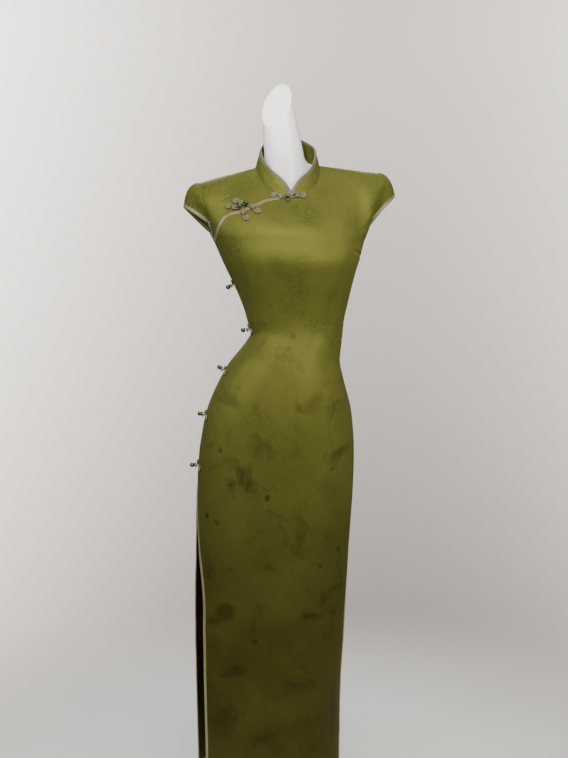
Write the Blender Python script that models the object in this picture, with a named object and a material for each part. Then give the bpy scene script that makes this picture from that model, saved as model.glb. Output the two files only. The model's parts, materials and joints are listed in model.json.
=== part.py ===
"""Floor-length cheongsam on a limbless dress form with a pole and a round base plate.

Metres, +Z up. The dress faces -Y, so the wearer's right side, where it opens, is at -X.
The origin is the centre of the base plate's underside, on the floor.
"""

import math

import bpy
import numpy as np
from mathutils import Vector
from mathutils.bvhtree import BVHTree

MM = 0.001

# Driving sizes of the garment
HEM = 0.060
SLIT_TOP = 0.700
ARMPIT = 1.235
YOKE = 0.160
SHOULDER = ARMPIT + YOKE
WALL = 1.3 * MM
SEAM = 0.3 * MM
BAND_WIDTH = 6.5 * MM
BAND_WALL = 0.9 * MM
COLLAR_WALL = 1.6 * MM

# The slits' edges stand back from the side, in degrees round the body, the front's further
# at the wearer's right
SLIT_FULL = 0.420
SLIT_FRONT_DEG = {-1: 24.0, 1: 13.0}
SLIT_BACK_DEG = {-1: 6.0, 1: 6.0}

# Level sections of the worn dress, on the cloth's inner face. right and left are the
# outlines at the wearer's right (-X) and left (+X), middle is the centre line, front and
# back are depths from the side seam, and square bends the oval towards a rectangle.
SECTION_COLUMNS = ("height", "right", "left", "middle", "front", "back", "square")
BODY_SECTIONS = (
    (0.060, -0.169, 0.144, -0.012, 0.080, 0.096, 0.88),
    (0.230, -0.173, 0.146, -0.010, 0.084, 0.102, 0.88),
    (0.420, -0.176, 0.157, -0.008, 0.090, 0.110, 0.90),
    (0.560, -0.174, 0.164, -0.004, 0.094, 0.118, 0.90),
    (0.700, -0.171, 0.174, 0.002, 0.099, 0.127, 0.92),
    (0.790, -0.164, 0.175, 0.006, 0.102, 0.130, 0.94),
    (0.865, -0.149, 0.168, 0.010, 0.101, 0.122, 0.95),
    (0.932, -0.120, 0.151, 0.016, 0.096, 0.102, 0.95),
    (0.968, -0.099, 0.143, 0.022, 0.091, 0.091, 0.95),
    (1.003, -0.070, 0.146, 0.030, 0.085, 0.081, 0.95),
    (1.029, -0.053, 0.149, 0.036, 0.082, 0.077, 0.95),
    (1.060, -0.060, 0.152, 0.040, 0.084, 0.078, 0.94),
    (1.100, -0.072, 0.160, 0.041, 0.093, 0.085, 0.90),
    (1.140, -0.089, 0.169, 0.039, 0.110, 0.093, 0.86),
    (1.185, -0.111, 0.181, 0.036, 0.123, 0.101, 0.83),
    (1.235, -0.133, 0.196, 0.034, 0.116, 0.106, 0.85),
)

# Points where the yoke's edges meet
SHOULDER_TIPS = {-1: (-0.168, 0.004, 1.357), 1: (0.230, 0.004, 1.385)}
NECK_SIDES = {-1: (-0.040, 0.004, 1.392), 1: (0.098, 0.004, 1.398)}
NECK_PIT = (0.026, -0.060, 1.325)
NAPE = (0.030, 0.056, 1.413)
NECK_SHARE = 0.36

# Columns from the middle of a panel to its side edge, as shares of the half width. Rows
# are level from the hem to the bust, and YOKE_LEVELS are shared out over the yoke.
HALF_COLUMNS = (0.0, 0.09, 0.18, 0.27, NECK_SHARE, 0.49, 0.62, 0.75, 0.87, 0.972, 1.0)
LEVEL_ROWS = (
    HEM, HEM + BAND_WIDTH, 0.15, 0.25, 0.35, 0.45, 0.55, 0.63, SLIT_TOP,
    0.745, 0.79, 0.83, 0.87, 0.91, 0.945, 0.975, 1.003, 1.029, 1.055,
    1.085, 1.115, 1.145, 1.175, 1.205,
)
YOKE_LEVELS = (1.237, 1.268, 1.298, 1.325, 1.348, 1.368, 1.384, SHOULDER)
SLIT_ROWS = LEVEL_ROWS.index(SLIT_TOP)

# Edge of the front panel's curved opening, seen from the front
OPENING_COLUMNS = ("across", "height")
OPENING_EDGE = (
    (-0.1345, 1.229), (-0.1325, 1.2500), (-0.1265, 1.2690), (-0.1125, 1.2842),
    (-0.099, 1.2893), (-0.0885, 1.2912), (-0.0667, 1.3006), (-0.0464, 1.3085),
    (-0.0340, 1.3145), (-0.0186, 1.3192), (0.0020, 1.3227), (0.0140, 1.3240),
    (0.026, 1.325),
)
UNDERLAP_DEPTH = 12 * MM

# Stand collar: height above the neck seam by degrees from the centre front
COLLAR_COLUMNS = ("degrees", "height")
COLLAR_HEIGHTS = (
    (0, 0.011), (8, 0.026), (21, 0.037), (38, 0.040), (60, 0.039),
    (90, 0.039), (135, 0.048), (180, 0.059),
)
COLLAR_GAP_DEG = 0.5
NODE_DEG = 22.5
COLLAR_LEAN = 0.29

# Cap sleeves: the outer tip of each hem, where it runs out on the armhole, and how much
# further down its back half aims
SLEEVE_TIPS = {-1: (-0.1985, 0.0, 1.304), 1: (0.268, 0.0, 1.335)}
SLEEVE_END = 0.22
SLEEVE_DIP = 1.17
SLEEVE_STEPS = 16
SLEEVE_ROWS = (0.0, 0.25, 0.5, 0.75, 0.90, 1.0)

# Frog fastenings: round cord coiled flat, with a bead on the knot
CORD = 3.1 * MM
CORD_PITCH = 3.35 * MM
BIG_COIL = 5.9 * MM
SMALL_COIL = 3.6 * MM
COIL_START = 1.7 * MM
LOOP_AT = 4.6 * MM
LOOP_RADIUS = 1.95 * MM
BEAD = 10.0 * MM

# Dress form, pole and base plate
FORM_FOOT = 0.620
NECK_LOW = (0.0180, -0.005, 1.430, 0.0425, 0.0405)
NECK_TOP = (-0.0078, -0.020, 1.600, 0.0295, 0.030)
NECK_CUT_POINT = (-0.001, -0.016, 1.522)
NECK_CUT_NORMAL = (-0.555, -0.68, 0.478)
POLE_RADIUS = 0.0125
BASE_RADIUS = 0.170
BASE_HEIGHT = 0.012

MATERIALS = {
    "silk": ("#7C7A2E", 0.38, 0.0),
    "binding": ("#B5AD90", 0.45, 0.0),
    "cord": ("#A79F7E", 0.60, 0.0),
    "bead": ("#0F4A36", 0.15, 0.0),
    "form": ("#EFECEA", 0.30, 0.0),
    "metal": ("#D9D9D8", 0.35, 1.0),
}


# General shape functions


def table_columns(rows, names):
    """The columns of a table by name, as arrays."""
    return dict(zip(names, np.array(rows, float).T))


def smooth_read(at, places, values):
    """Cubic through the table's points, with slopes from each point's neighbours."""
    slopes = np.gradient(values, places)
    at = np.clip(at, places[0], places[-1])
    low = np.clip(np.searchsorted(places, at, side="right") - 1, 0, len(places) - 2)
    span = places[low + 1] - places[low]
    return hermite(
        (at - places[low]) / span,
        values[low], values[low + 1], slopes[low] * span, slopes[low + 1] * span,
    )


def hermite(t, start, end, start_slope, end_slope):
    """Cubic from start to end with the given slopes there."""
    return (
        (2 * t**3 - 3 * t**2 + 1) * start
        + (3 * t**2 - 2 * t**3) * end
        + (t**3 - 2 * t**2 + t) * start_slope
        + (t**3 - t**2) * end_slope
    )


def ease(value, low, high):
    """0 below low, 1 above high, and a smooth step between them."""
    t = np.clip((value - low) / (high - low), 0, 1)
    return t * t * (3 - 2 * t)


def unit(vectors):
    return vectors / np.maximum(np.linalg.norm(vectors, axis=-1, keepdims=True), 1e-12)


def linear_rgb(hex_colour):
    """sRGB hex to Blender's linear colour."""
    parts = [int(hex_colour[i:i + 2], 16) / 255 for i in (1, 3, 5)]
    return [p / 12.92 if p <= 0.04045 else ((p + 0.055) / 1.055) ** 2.4 for p in parts]


def material(name):
    found = bpy.data.materials.get(name)
    if found:
        return found
    colour, roughness, metallic = MATERIALS[name]
    made = bpy.data.materials.new(name)
    made.use_nodes = True
    shader = made.node_tree.nodes["Principled BSDF"]
    shader.inputs["Base Color"].default_value = (*linear_rgb(colour), 1)
    shader.inputs["Roughness"].default_value = roughness
    shader.inputs["Metallic"].default_value = metallic
    return made


def turn_over(loop):
    """The same face seen from behind, split along the same diagonal."""
    return (loop[0], *loop[:0:-1])


def add_mesh(name, points, faces, finish):
    """One closed mesh as an object, every face split into triangles from its first corner."""
    triangles = [(f[0], f[i], f[i + 1]) for f in faces for i in range(1, len(f) - 1)]
    mesh = bpy.data.meshes.new(name)
    mesh.from_pydata([tuple(p) for p in points], [], triangles)
    mesh.update()
    mesh.shade_smooth()
    mesh.set_sharp_from_angle(angle=math.radians(40))
    mesh.materials.append(material(finish))
    made = bpy.data.objects.new(name, mesh)
    bpy.context.scene.collection.objects.link(made)
    return made


# The body surface that every panel follows


SECTIONS = table_columns(BODY_SECTIONS, SECTION_COLUMNS)


def level_ring(side, share, height):
    """Half an oval at one height: share runs from -1 at the wearer's right to 1 at the left."""
    read = {
        name: smooth_read(height, SECTIONS["height"], SECTIONS[name])
        for name in SECTION_COLUMNS[1:]
    }
    angle = share * math.pi / 2
    across = np.abs(np.sin(angle)) ** read["square"]
    deep = np.maximum(np.cos(angle), 0) ** read["square"]
    reach = np.where(share > 0, read["left"] - read["middle"], read["right"] - read["middle"])
    depth = read["front"] if side < 0 else read["back"]
    return np.stack([read["middle"] + reach * across, side * depth * deep, height], axis=-1)


def top_line(side, share):
    """The yoke's top edge: the shoulder seams, and the neckline between them."""
    hand = np.where(share < 0, -1, 1)
    neck = np.where(hand[..., None] < 0, NECK_SIDES[-1], NECK_SIDES[1])
    tip = np.where(hand[..., None] < 0, SHOULDER_TIPS[-1], SHOULDER_TIPS[1])
    middle = np.array(NECK_PIT if side < 0 else NAPE)
    along = np.clip((np.abs(share) - NECK_SHARE) / (1 - NECK_SHARE), 0, 1)[..., None]
    shoulder = neck + (tip - neck) * along
    turn = np.clip(np.abs(share) / NECK_SHARE, 0, 1) * math.pi / 2
    swing, rise = np.sin(turn), 1 - np.cos(turn)
    neckline = middle + (neck - middle) * np.stack([swing, rise, rise], axis=-1)
    return np.where(np.abs(share)[..., None] >= NECK_SHARE, shoulder, neckline)


def yoke(side, share, rise):
    """Columns from the armpit line up to the top line, cubics that roll over the shoulder."""
    level = np.full_like(share, ARMPIT)
    start = level_ring(side, share, level)
    slope = (start - level_ring(side, share, level - MM)) / MM
    end = top_line(side, share)
    reach = np.linalg.norm(end - start, axis=-1, keepdims=True)
    edge = ease(np.abs(share), 0.55, 1.0)
    neck = 1 - ease(np.abs(share), 0.6 * NECK_SHARE, 1.5 * NECK_SHARE)
    inward = ease(np.abs(share), 0, 0.75 * NECK_SHARE) * (1 - ease(np.abs(share), NECK_SHARE, 0.62))
    lead_out = slope * reach
    lead_out[..., 1] += side * 0.18 * edge
    over = -side * (0.11 + 0.045 * edge) * (1 - neck) - side * 0.03 * neck
    lead_in = np.stack([-0.055 * inward * np.sign(share), over, 0.03 + 0.06 * neck], axis=-1)
    return hermite(rise[..., None], start, end, lead_out, lead_in)


def body(side, share, height):
    """The cloth's inner face. Height is real up to ARMPIT, and runs up the yoke above it."""
    share, height = np.broadcast_arrays(np.asarray(share, float), np.asarray(height, float))
    low = level_ring(side, share, np.minimum(height, ARMPIT))
    high = yoke(side, share, np.clip((height - ARMPIT) / YOKE, 0, 1))
    return np.where((height > ARMPIT)[..., None], high, low)


def body_normal(side, share, height):
    """Outward direction of the body surface, from its slopes across and up."""
    step_share, step_height = 0.004, 1.5 * MM
    across = body(side, np.minimum(share + step_share, 1), height) - body(
        side, np.maximum(share - step_share, -1), height
    )
    up = body(side, share, np.minimum(height + step_height, SHOULDER)) - body(
        side, share, np.maximum(height - step_height, HEM)
    )
    return unit(np.cross(across, up) * -side)


# Cloth walls made from a grid of points


def shell(name, points, normals, inner, outer, finish, cells=None):
    """A closed wall over chosen cells of a grid, between two distances along the normals."""
    rows, columns = points.shape[:2]
    cells = np.ones((rows - 1, columns - 1), bool) if cells is None else cells
    inner, outer = (np.broadcast_to(d, (rows, columns))[..., None] for d in (inner, outer))
    used, corners = {}, []

    def corner(row, column, layer):
        key = (row, column, layer)
        if key not in used:
            used[key] = len(corners)
            distance = (inner, outer)[layer][row, column]
            corners.append(points[row, column] + normals[row, column] * distance)
        return used[key]

    faces = []
    flip = np.dot(
        np.cross(points[0, 1] - points[0, 0], points[1, 0] - points[0, 0]), normals[0, 0]
    ) < 0

    def add(loop):
        faces.append(turn_over(loop) if flip else tuple(loop))

    for row, column in zip(*np.nonzero(cells)):
        ring = [(row, column), (row, column + 1), (row + 1, column + 1), (row + 1, column)]
        add([corner(*c, 1) for c in ring])
        add(turn_over([corner(*c, 0) for c in ring]))
        beside = [(row - 1, column), (row, column + 1), (row + 1, column), (row, column - 1)]
        for (a, b), (r, c) in zip(zip(ring, ring[1:] + ring[:1]), beside):
            inside = 0 <= r < rows - 1 and 0 <= c < columns - 1 and cells[r, c]
            if not inside:
                add([corner(*a, 0), corner(*b, 0), corner(*b, 1), corner(*a, 1)])
    return add_mesh(name, corners, faces, finish)


def trim_edge(points, row=None, column=None, by=SEAM * 0.7):
    """Moves one edge of a grid back along its surface, which leaves half of a seam's gap."""
    index = (row, slice(None)) if row is not None else (slice(None), column)
    next_in = {0: 1, -1: -2}[row if row is not None else column]
    inner = (next_in, slice(None)) if row is not None else (slice(None), next_in)
    points[index] += unit(points[inner] - points[index]) * by


# Panels


SHARES = np.array([-c for c in reversed(HALF_COLUMNS)] + list(HALF_COLUMNS[1:]))
MIDDLE_COLUMN = len(HALF_COLUMNS) - 1
OPENING = table_columns(OPENING_EDGE, OPENING_COLUMNS)


def slit_open(height):
    """0 above the slit, 1 where it stands fully open."""
    return 1 - ease(height, SLIT_FULL, SLIT_TOP)


def opening_height(share):
    """Where a column of the front meets the curved opening, found by halving."""
    low, high = LEVEL_ROWS[-1] + 0.012, SHOULDER
    for _ in range(30):
        mid = (low + high) / 2
        x, _, z = body(-1, share, mid)
        if z < np.interp(x, OPENING["across"], OPENING["height"]):
            low = mid
        else:
            high = mid
    return (low + high) / 2


def opening_slope(share):
    """Steepness of the opening's edge where a column meets it."""
    x = body(-1, share, opening_height(share))[0]
    run = 3 * MM
    lift = np.interp([x - run, x + run], OPENING["across"], OPENING["height"])
    return abs(lift[1] - lift[0]) / (2 * run)


def opening_rows():
    """Heights on every column of the underlap's low edge, the binding's edge and the cut edge."""
    right = SHARES[:MIDDLE_COLUMN]
    cut = np.array([opening_height(share) for share in right])
    slope = np.array([opening_slope(share) for share in right])
    band = cut - np.minimum(BAND_WIDTH * np.hypot(1, slope), 13 * MM)
    low = np.minimum(cut - UNDERLAP_DEPTH * np.hypot(1, np.minimum(slope, 0.8)), band - 2.5 * MM)
    rows = np.stack([np.maximum(low, LEVEL_ROWS[-1] + 5 * MM), band, cut])
    rest = np.repeat(np.array(YOKE_LEVELS[-3:])[:, None], MIDDLE_COLUMN + 1, axis=1)
    return np.concatenate([rows, rest], axis=1)


def panel_rows(side):
    """Heights of every row and column. The front's last rows follow the opening."""
    rows = np.repeat(np.array(LEVEL_ROWS + YOKE_LEVELS)[:, None], len(SHARES), axis=1)
    if side > 0:
        return rows
    start, low = LEVEL_ROWS[-1], opening_rows()[0]
    shares = (np.array(YOKE_LEVELS[:-3]) - start) / (YOKE_LEVELS[-3] - start)
    rows[len(LEVEL_ROWS):-3] = start + (low - start) * shares[:, None]
    rows[-3:] = opening_rows()
    return rows


def panel_shares(side, heights):
    """Columns drawn in from the side below the slit's top."""
    degrees = SLIT_FRONT_DEG if side < 0 else SLIT_BACK_DEG
    stand_back = np.where(SHARES < 0, degrees[-1], degrees[1])
    return SHARES * (1 - stand_back / 90 * slit_open(heights))


def lap_lift(shares, heights):
    """How far the front stands off to pass over the underlap: near the opening only."""
    layer = WALL + SEAM + 0.1 * MM
    return layer * (1 - ease(shares, 0.02, 0.30)) * ease(heights, 1.11, 1.18)


def make_panels():
    """Front and back, each one piece of cloth from the hem to the shoulders."""
    grids = {}
    for name, side in (("front_panel", -1), ("back_panel", 1)):
        heights = panel_rows(side)
        shares = panel_shares(side, heights)
        points = body(side, shares, heights)
        normals = body_normal(side, shares, heights)
        for edge in (0, -1):
            trim_edge(points, column=edge)
        trim_edge(points, row=-1)
        lift = lap_lift(shares, heights) if side < 0 else np.zeros_like(heights)
        grids[name] = (points, normals, lift, heights)
        shell(name, points, normals, lift, lift + WALL, "silk")
    return grids


def make_underlap():
    """The small upper right front, sewn to the back and lapped under the big front."""
    columns = slice(0, MIDDLE_COLUMN + 1)
    low, band, cut = opening_rows()[:, columns]
    cut = np.minimum(cut, SHOULDER - 9 * MM)
    steps = np.array([0, 0.18, 0.36, 0.53, 0.69, 0.82, 0.93, 1])[:, None]
    heights = np.concatenate([[low, band], cut + (SHOULDER - cut) * steps])
    shares = np.broadcast_to(SHARES[columns], heights.shape)
    points = body(-1, shares, heights)
    normals = body_normal(-1, shares, heights)
    trim_edge(points, column=0)
    trim_edge(points, row=-1)
    shell("underlap", points, normals, 0, WALL, "silk")
    return points, normals, heights


def make_edge_bands(grids):
    """Bias bindings on the outer face of the panels' free edges."""
    for name, part in (("front_panel", "front"), ("back_panel", "back")):
        points, normals, lift, _ = grids[name]
        rows, columns = points.shape[0] - 1, points.shape[1] - 1
        under = lift + WALL + SEAM
        cells = np.zeros((rows, columns), bool)
        cells[0, :] = True
        cells[:SLIT_ROWS, [0, -1]] = True
        shell(f"{part}_skirt_binding", points, normals, under, under + BAND_WALL, "binding", cells)
        if part == "front":
            cells = np.zeros((rows, columns), bool)
            cells[-1, :MIDDLE_COLUMN] = True
            shell("opening_binding", points, normals, under, under + BAND_WALL, "binding", cells)


# Collar


COLLAR = table_columns(COLLAR_HEIGHTS, COLLAR_COLUMNS)


def neckline(degrees):
    """The neck seam, from the centre front round by the wearer's left."""
    turn = np.radians(degrees)
    hand = np.where(np.sin(turn)[..., None] < 0, NECK_SIDES[-1], NECK_SIDES[1])
    front = np.cos(turn)[..., None] > 0
    middle = np.where(front, NECK_PIT, NAPE)
    swing, rise = np.abs(np.sin(turn)), 1 - np.abs(np.cos(turn))
    return middle + (hand - middle) * np.stack([swing, rise, rise], axis=-1)


def neck_edge_rise(degrees, up):
    """How far the panels' outer corner stands above the neck seam, along the collar's rise."""
    turn = np.radians(degrees)
    side = np.where(np.cos(turn) > 1e-9, -1, 1)
    share = NECK_SHARE * (1 - np.abs(degrees % 180 - 90) / 90) * np.where(degrees > 180, -1, 1)
    stands = WALL + lap_lift(np.abs(share) + (degrees > 180), np.full_like(share, SHOULDER))
    stands = np.where(side < 0, stands, WALL)
    front = body_normal(-1, share, SHOULDER)
    back = body_normal(1, share, SHOULDER)
    normal = np.where((side < 0)[:, None], front, back)
    return np.maximum(np.sum(normal * up, axis=1) * stands, 0)


def make_collar():
    """Stand collar: a band that rises from the neck seam, leans in, and is cut to a V in front."""
    nodes = np.arange(0, 361, NODE_DEG)
    between = np.arange(0.5, len(nodes) - 1) * NODE_DEG
    near = COLLAR_GAP_DEG + np.array([0, 4.0])
    degrees = np.unique(np.concatenate([nodes[1:-1], between, near, 360 - near]))
    turn = np.radians(degrees)
    back = (1 - np.cos(turn)) / 2
    lean_in = np.stack(
        [-COLLAR_LEAN * np.sin(turn), 0.16 * (1 - back) - 0.27 * back, np.ones_like(turn)], axis=-1
    )
    up = unit(lean_in)
    curve = neckline(degrees)
    corners = neckline(nodes)
    seam = np.stack([np.interp(degrees, nodes, corners[:, k]) for k in range(3)], axis=-1)
    out = unit(np.cross(np.gradient(curve, degrees, axis=0), up))
    from_front = np.where(degrees > 180, 360 - degrees, degrees)
    heights = smooth_read(from_front, COLLAR["degrees"], COLLAR["height"])
    clear = neck_edge_rise(degrees, up) + SEAM + (0.1 + 0.9 * np.abs(np.sin(turn))) * MM
    band = np.minimum(BAND_WIDTH * 0.85, heights * 0.5)
    levels = np.stack([clear, 0.35 * heights, 0.7 * heights, heights - band, heights])
    levels[1:3] = np.minimum(levels[1:3], (heights - band) * np.array([[0.45], [0.75]]))
    levels[1:3] = np.maximum(levels[1:3], clear + np.array([[0.8], [1.6]]) * MM)
    base = np.stack([seam, *[curve] * (len(levels) - 1)])
    points = base + up * levels[..., None]
    normals = np.broadcast_to(out, points.shape)
    shell("collar", points, normals, 0, COLLAR_WALL, "silk")
    cells = np.zeros((len(levels) - 1, len(degrees) - 1), bool)
    cells[-1, :] = True
    cells[:, [0, -1]] = True
    under = COLLAR_WALL + SEAM
    shell("collar_binding", points, normals, under, under + BAND_WALL, "binding", cells)


# Cap sleeves


def armhole_reader(hand, side, grids, underlap):
    """Reads place, outward way and facing on a panel's armhole edge at any height up the yoke."""
    if side < 0 and hand < 0:
        points, normals, heights = underlap
    else:
        points, normals, _, heights = grids["front_panel" if side < 0 else "back_panel"]
    edge, inside = (0, 1) if hand < 0 else (-1, -2)
    way = unit(points[:, edge] - points[:, inside])
    table = np.concatenate([points[:, edge], way, normals[:, edge]], axis=1)
    return lambda h: np.stack([np.interp(h, heights[:, edge], c) for c in table.T], axis=-1)


def armhole(hand, turn, grids, underlap):
    """The armhole edge for turn from -1 at the front end over the shoulder to 1 at the back end."""
    height = ARMPIT + YOKE * (1 - (1 - SLEEVE_END) * np.abs(turn))
    front, back = (armhole_reader(hand, side, grids, underlap)(height) for side in (-1, 1))
    share = np.clip(0.5 + turn * SLEEVE_STEPS / 3, 0, 1)[:, None]
    mixed = front * (1 - share) + back * share
    return mixed[:, :3], unit(mixed[:, 3:6]), unit(mixed[:, 6:])


def sleeve_hem(hand, turn, ends):
    """Hem edge: out to the tip over the shoulder and back in to the armhole at both ends."""
    weight = np.cos(turn * math.pi / 2)[:, None]
    tip = np.array(SLEEVE_TIPS[hand])
    end = np.where((turn < 0)[:, None], ends[0], ends[1])
    hem = end + (tip - end) * weight
    hem[:, 1] = tip[1] + (end[:, 1] - tip[1]) * np.sin(np.abs(turn) * math.pi / 2)
    return hem


def make_sleeve(hand, name, grids, underlap):
    turn = np.linspace(-0.93, 0.93, SLEEVE_STEPS + 1)
    seam, way, facing = armhole(hand, turn, grids, underlap)
    ends, _, _ = armhole(hand, np.array([-1.0, SLEEVE_DIP]), grids, underlap)
    hem = sleeve_hem(hand, turn, ends)
    start = seam + way * 0.5 * MM
    reach = np.linalg.norm(hem - start, axis=1, keepdims=True)
    drop = unit(
        np.stack([hand * (0.1 + 0.5 * np.abs(turn)), np.zeros_like(turn), -np.ones_like(turn)], axis=1)
    )
    ways = unit(way + np.array([hand * 0.25, 0, 0.06]))
    down = np.array(SLEEVE_ROWS)[:, None, None]
    points = hermite(down, start, hem, 1.15 * reach * ways, 1.15 * reach * drop)
    along, across = np.gradient(points, axis=1), np.gradient(points, axis=0)
    normals = unit(np.cross(along, across))
    if normals[2, SLEEVE_STEPS // 2, 2] < 0:
        normals = -normals
    normals[0] = facing
    shell(f"{name}_sleeve", points, normals, 0, WALL, "silk")
    cells = np.zeros((len(SLEEVE_ROWS) - 1, SLEEVE_STEPS), bool)
    cells[-1, :] = True
    under = WALL + SEAM
    shell(f"{name}_sleeve_binding", points, normals, under, under + BAND_WALL, "binding", cells)


def make_underarm_bands(grids, underlap):
    """Bindings on the armhole's lower edge, between the sleeve's two ends."""
    end_height = ARMPIT + YOKE * SLEEVE_END
    front_points, front_normals, front_lift, front_heights = grids["front_panel"]
    back_points, back_normals, _, back_heights = grids["back_panel"]
    lap_points, lap_normals, lap_heights = underlap
    for name, points, normals, under, heights, column, start in (
        ("left_front", front_points, front_normals, front_lift, front_heights, -1, LEVEL_ROWS[-1]),
        ("left_back", back_points, back_normals, 0, back_heights, -1, LEVEL_ROWS[-1]),
        ("right_back", back_points, back_normals, 0, back_heights, 0, LEVEL_ROWS[-1]),
        ("right_front", lap_points, lap_normals, 0, lap_heights, 0, lap_heights[2, 0] - MM),
    ):
        cells = np.zeros((points.shape[0] - 1, points.shape[1] - 1), bool)
        edge = heights[:, column]
        cells[(edge[:-1] >= start) & (edge[1:] < end_height + 5 * MM), column] = True
        distance = np.asarray(under) + WALL + SEAM
        shell(
            f"{name}_armhole_binding", points, normals, distance, distance + BAND_WALL, "binding", cells
        )


# Frog fastenings


def arc(centre, radius_from, radius_to, degrees_from, degrees_to, steps):
    """Points round a centre, on a circle or a flat spiral."""
    share = np.linspace(0, 1, steps + 1)
    radius = radius_from + (radius_to - radius_from) * share
    angle = np.radians(degrees_from + (degrees_to - degrees_from) * share)
    return np.stack([centre[0] + radius * np.cos(angle), centre[1] + radius * np.sin(angle)], axis=1)


def frog_path(small_at, big_at=None):
    """Centreline of half a frog, flat, with its loop at the bead: coil, run, loop, run, coil."""
    loop = arc((LOOP_AT, 0), LOOP_RADIUS, LOOP_RADIUS, -90, -270, 4)
    small_turns = (SMALL_COIL - COIL_START) / CORD_PITCH
    if big_at:
        big_turns = (BIG_COIL - COIL_START) / CORD_PITCH
        tail = arc((big_at, 0), COIL_START, BIG_COIL, -90 + 360 * big_turns, -90, 12)
        run = [
            (small_at + 4.0 * MM, -5.3 * MM),
            (small_at, -5.0 * MM),
            (small_at - 4.0 * MM, -3.9 * MM),
            (LOOP_AT + 2.5 * MM, -1.9 * MM),
        ]
        centre = (small_at, 0.0)
    else:
        tail = [(small_at - SMALL_COIL - 3.6 * MM, -LOOP_RADIUS)]
        run = []
        centre = (small_at, LOOP_RADIUS - SMALL_COIL)
    top = [(LOOP_AT + 2.5 * MM, LOOP_RADIUS + 0.15 * MM)]
    coil = arc(centre, SMALL_COIL, COIL_START, 90, 90 - 360 * small_turns, 6)
    lead = [np.array(p) for p in (tail, run, loop, top, coil) if len(p)]
    return np.concatenate(lead)


def surface_height(tree, root, normal, spots, miss):
    """Height of the cloth above root's plane under each spot, as a ray from outside finds it."""
    heights = []
    for spot in spots:
        hit = tree.ray_cast(Vector(spot + normal * 0.05), Vector(-normal), 0.09)[0]
        heights.append(miss if hit is None else float((np.array(hit) - root) @ normal))
    return np.array(heights)


def lay_cord(tree, root, along, normal, path, rise):
    """Lays a flat path on the cloth: each point rests on the highest cloth under the cord."""
    across = np.cross(normal, along)
    flat = root + path[:, :1] * along + path[:, 1:] * across
    radius = CORD / 2
    under = np.full(len(path), -1.0)
    for a, b in ((0, 0), (1, 0), (-1, 0), (0, 1), (0, -1), (1, 1), (-1, -1), (1, -1), (-1, 1)):
        spots = flat + (a * along + b * across) * radius
        under = np.maximum(under, surface_height(tree, root, normal, spots, -1.0))
    under = np.where(under > -0.5, under, np.median(under[under > -0.5]))
    padded = np.pad(under, 2, mode="edge")
    high = np.max([padded[k:k + len(path) + 2] for k in range(3)], axis=0)
    wide = np.mean([high[k:k + len(path)] for k in range(3)], axis=0)
    near = rise * (1 - ease(path[:, 0], LOOP_AT, LOOP_AT + 9 * MM))
    return flat + normal * (wide + near + radius + 0.4 * MM)[:, None]


def tube(name, line, radius, sides, finish):
    """A cord of round section along a line, with flat ends."""
    steps = unit(np.gradient(line, axis=0))
    side_way = unit(np.cross(steps[0], np.array([0.31, 0.17, 0.93])))
    rings = []
    for spot, step in zip(line, steps):
        side_way = unit(side_way - step * (side_way @ step))
        other = np.cross(step, side_way)
        angle = np.arange(sides) * 2 * math.pi / sides
        rings.append(spot + radius * (np.outer(np.cos(angle), side_way) + np.outer(np.sin(angle), other)))
    points = np.concatenate(rings)
    faces = [tuple(reversed(range(sides))), tuple(range(len(points) - sides, len(points)))]
    for ring in range(len(line) - 1):
        for k in range(sides):
            a, b = ring * sides + k, ring * sides + (k + 1) % sides
            faces.append((a, b, b + sides, a + sides))
    return add_mesh(name, points, faces, finish)


def turned(name, foot, axis, profile, segments, finish):
    """A profile of (radius, height) pairs turned about an axis that starts at foot."""
    side_way = unit(np.cross(axis, np.array([0.2, 0.9, 0.4])))
    other = np.cross(axis, side_way)
    points, rings = [], []
    for radius, height in profile:
        centre = foot + axis * height
        if radius == 0:
            rings.append([len(points)])
            points.append(centre)
            continue
        rings.append(list(range(len(points), len(points) + segments)))
        for k in range(segments):
            angle = 2 * math.pi * k / segments
            points.append(centre + radius * (math.cos(angle) * side_way + math.sin(angle) * other))
    faces = []
    for low, high in zip(rings, rings[1:]):
        for k in range(segments):
            n = (k + 1) % segments
            loop = [low[k % len(low)], low[n % len(low)], high[n % len(high)], high[k % len(high)]]
            faces.append(tuple(dict.fromkeys(loop)))
    return add_mesh(name, points, faces, finish)


def bead_profile():
    """A round bead with a small flat foot, on its knot."""
    radius, foot = BEAD / 2, 1.7 * MM
    start = math.asin(foot / radius)
    turns = np.linspace(start, math.pi, 7)
    ball = [(radius * math.sin(t), -radius * math.cos(t)) for t in turns[:-1]]
    return [(0, ball[0][1]), *ball, (0, radius)]


# Where each frog's bead sits, and which way its two halves run. looks is the direction
# that the cloth faces there, rise is how far (mm) the loops stand up to the bead, and
# knot_at and loop_at are the distances (mm) from the bead to the small and big coils.
FROG_COLUMNS = ("name", "root", "looks", "rise", "knot", "knot_at", "loop", "loop_at")
FROGS = (
    ("collar_frog", (0.0170, -0.07, 1.3228), (0, -1, 0), 0,
     (-1, 0, 0.28), (15, 27.5), (1, 0, 0.26), (21, 33.5)),
    ("chest_frog_1", (-0.0845, -0.10, 1.2970), (0, -1, 0), 0,
     (-0.90, 0, 0.44), (14, 27), (0.50, 0, -0.86), (13.5, 26)),
    ("chest_frog_2", (-0.0704, -0.10, 1.3050), (0, -1, 0), 0,
     (-0.83, 0, 0.56), (13, 25.5), (0.75, 0, -0.66), (13.5, 26)),
) + tuple(
    (f"side_frog_{number}", (across, -0.004, height), (-1, 0, 0), 6.5,
     (0, -1, -0.25), (15, 0), (0, 1, 0.25), (15, 0))
    for number, across, height in (
        (1, -0.09, 1.139), (2, -0.06, 1.042), (3, -0.11, 0.950), (4, -0.15, 0.853),
        (5, -0.17, 0.743),
    )
)


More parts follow.
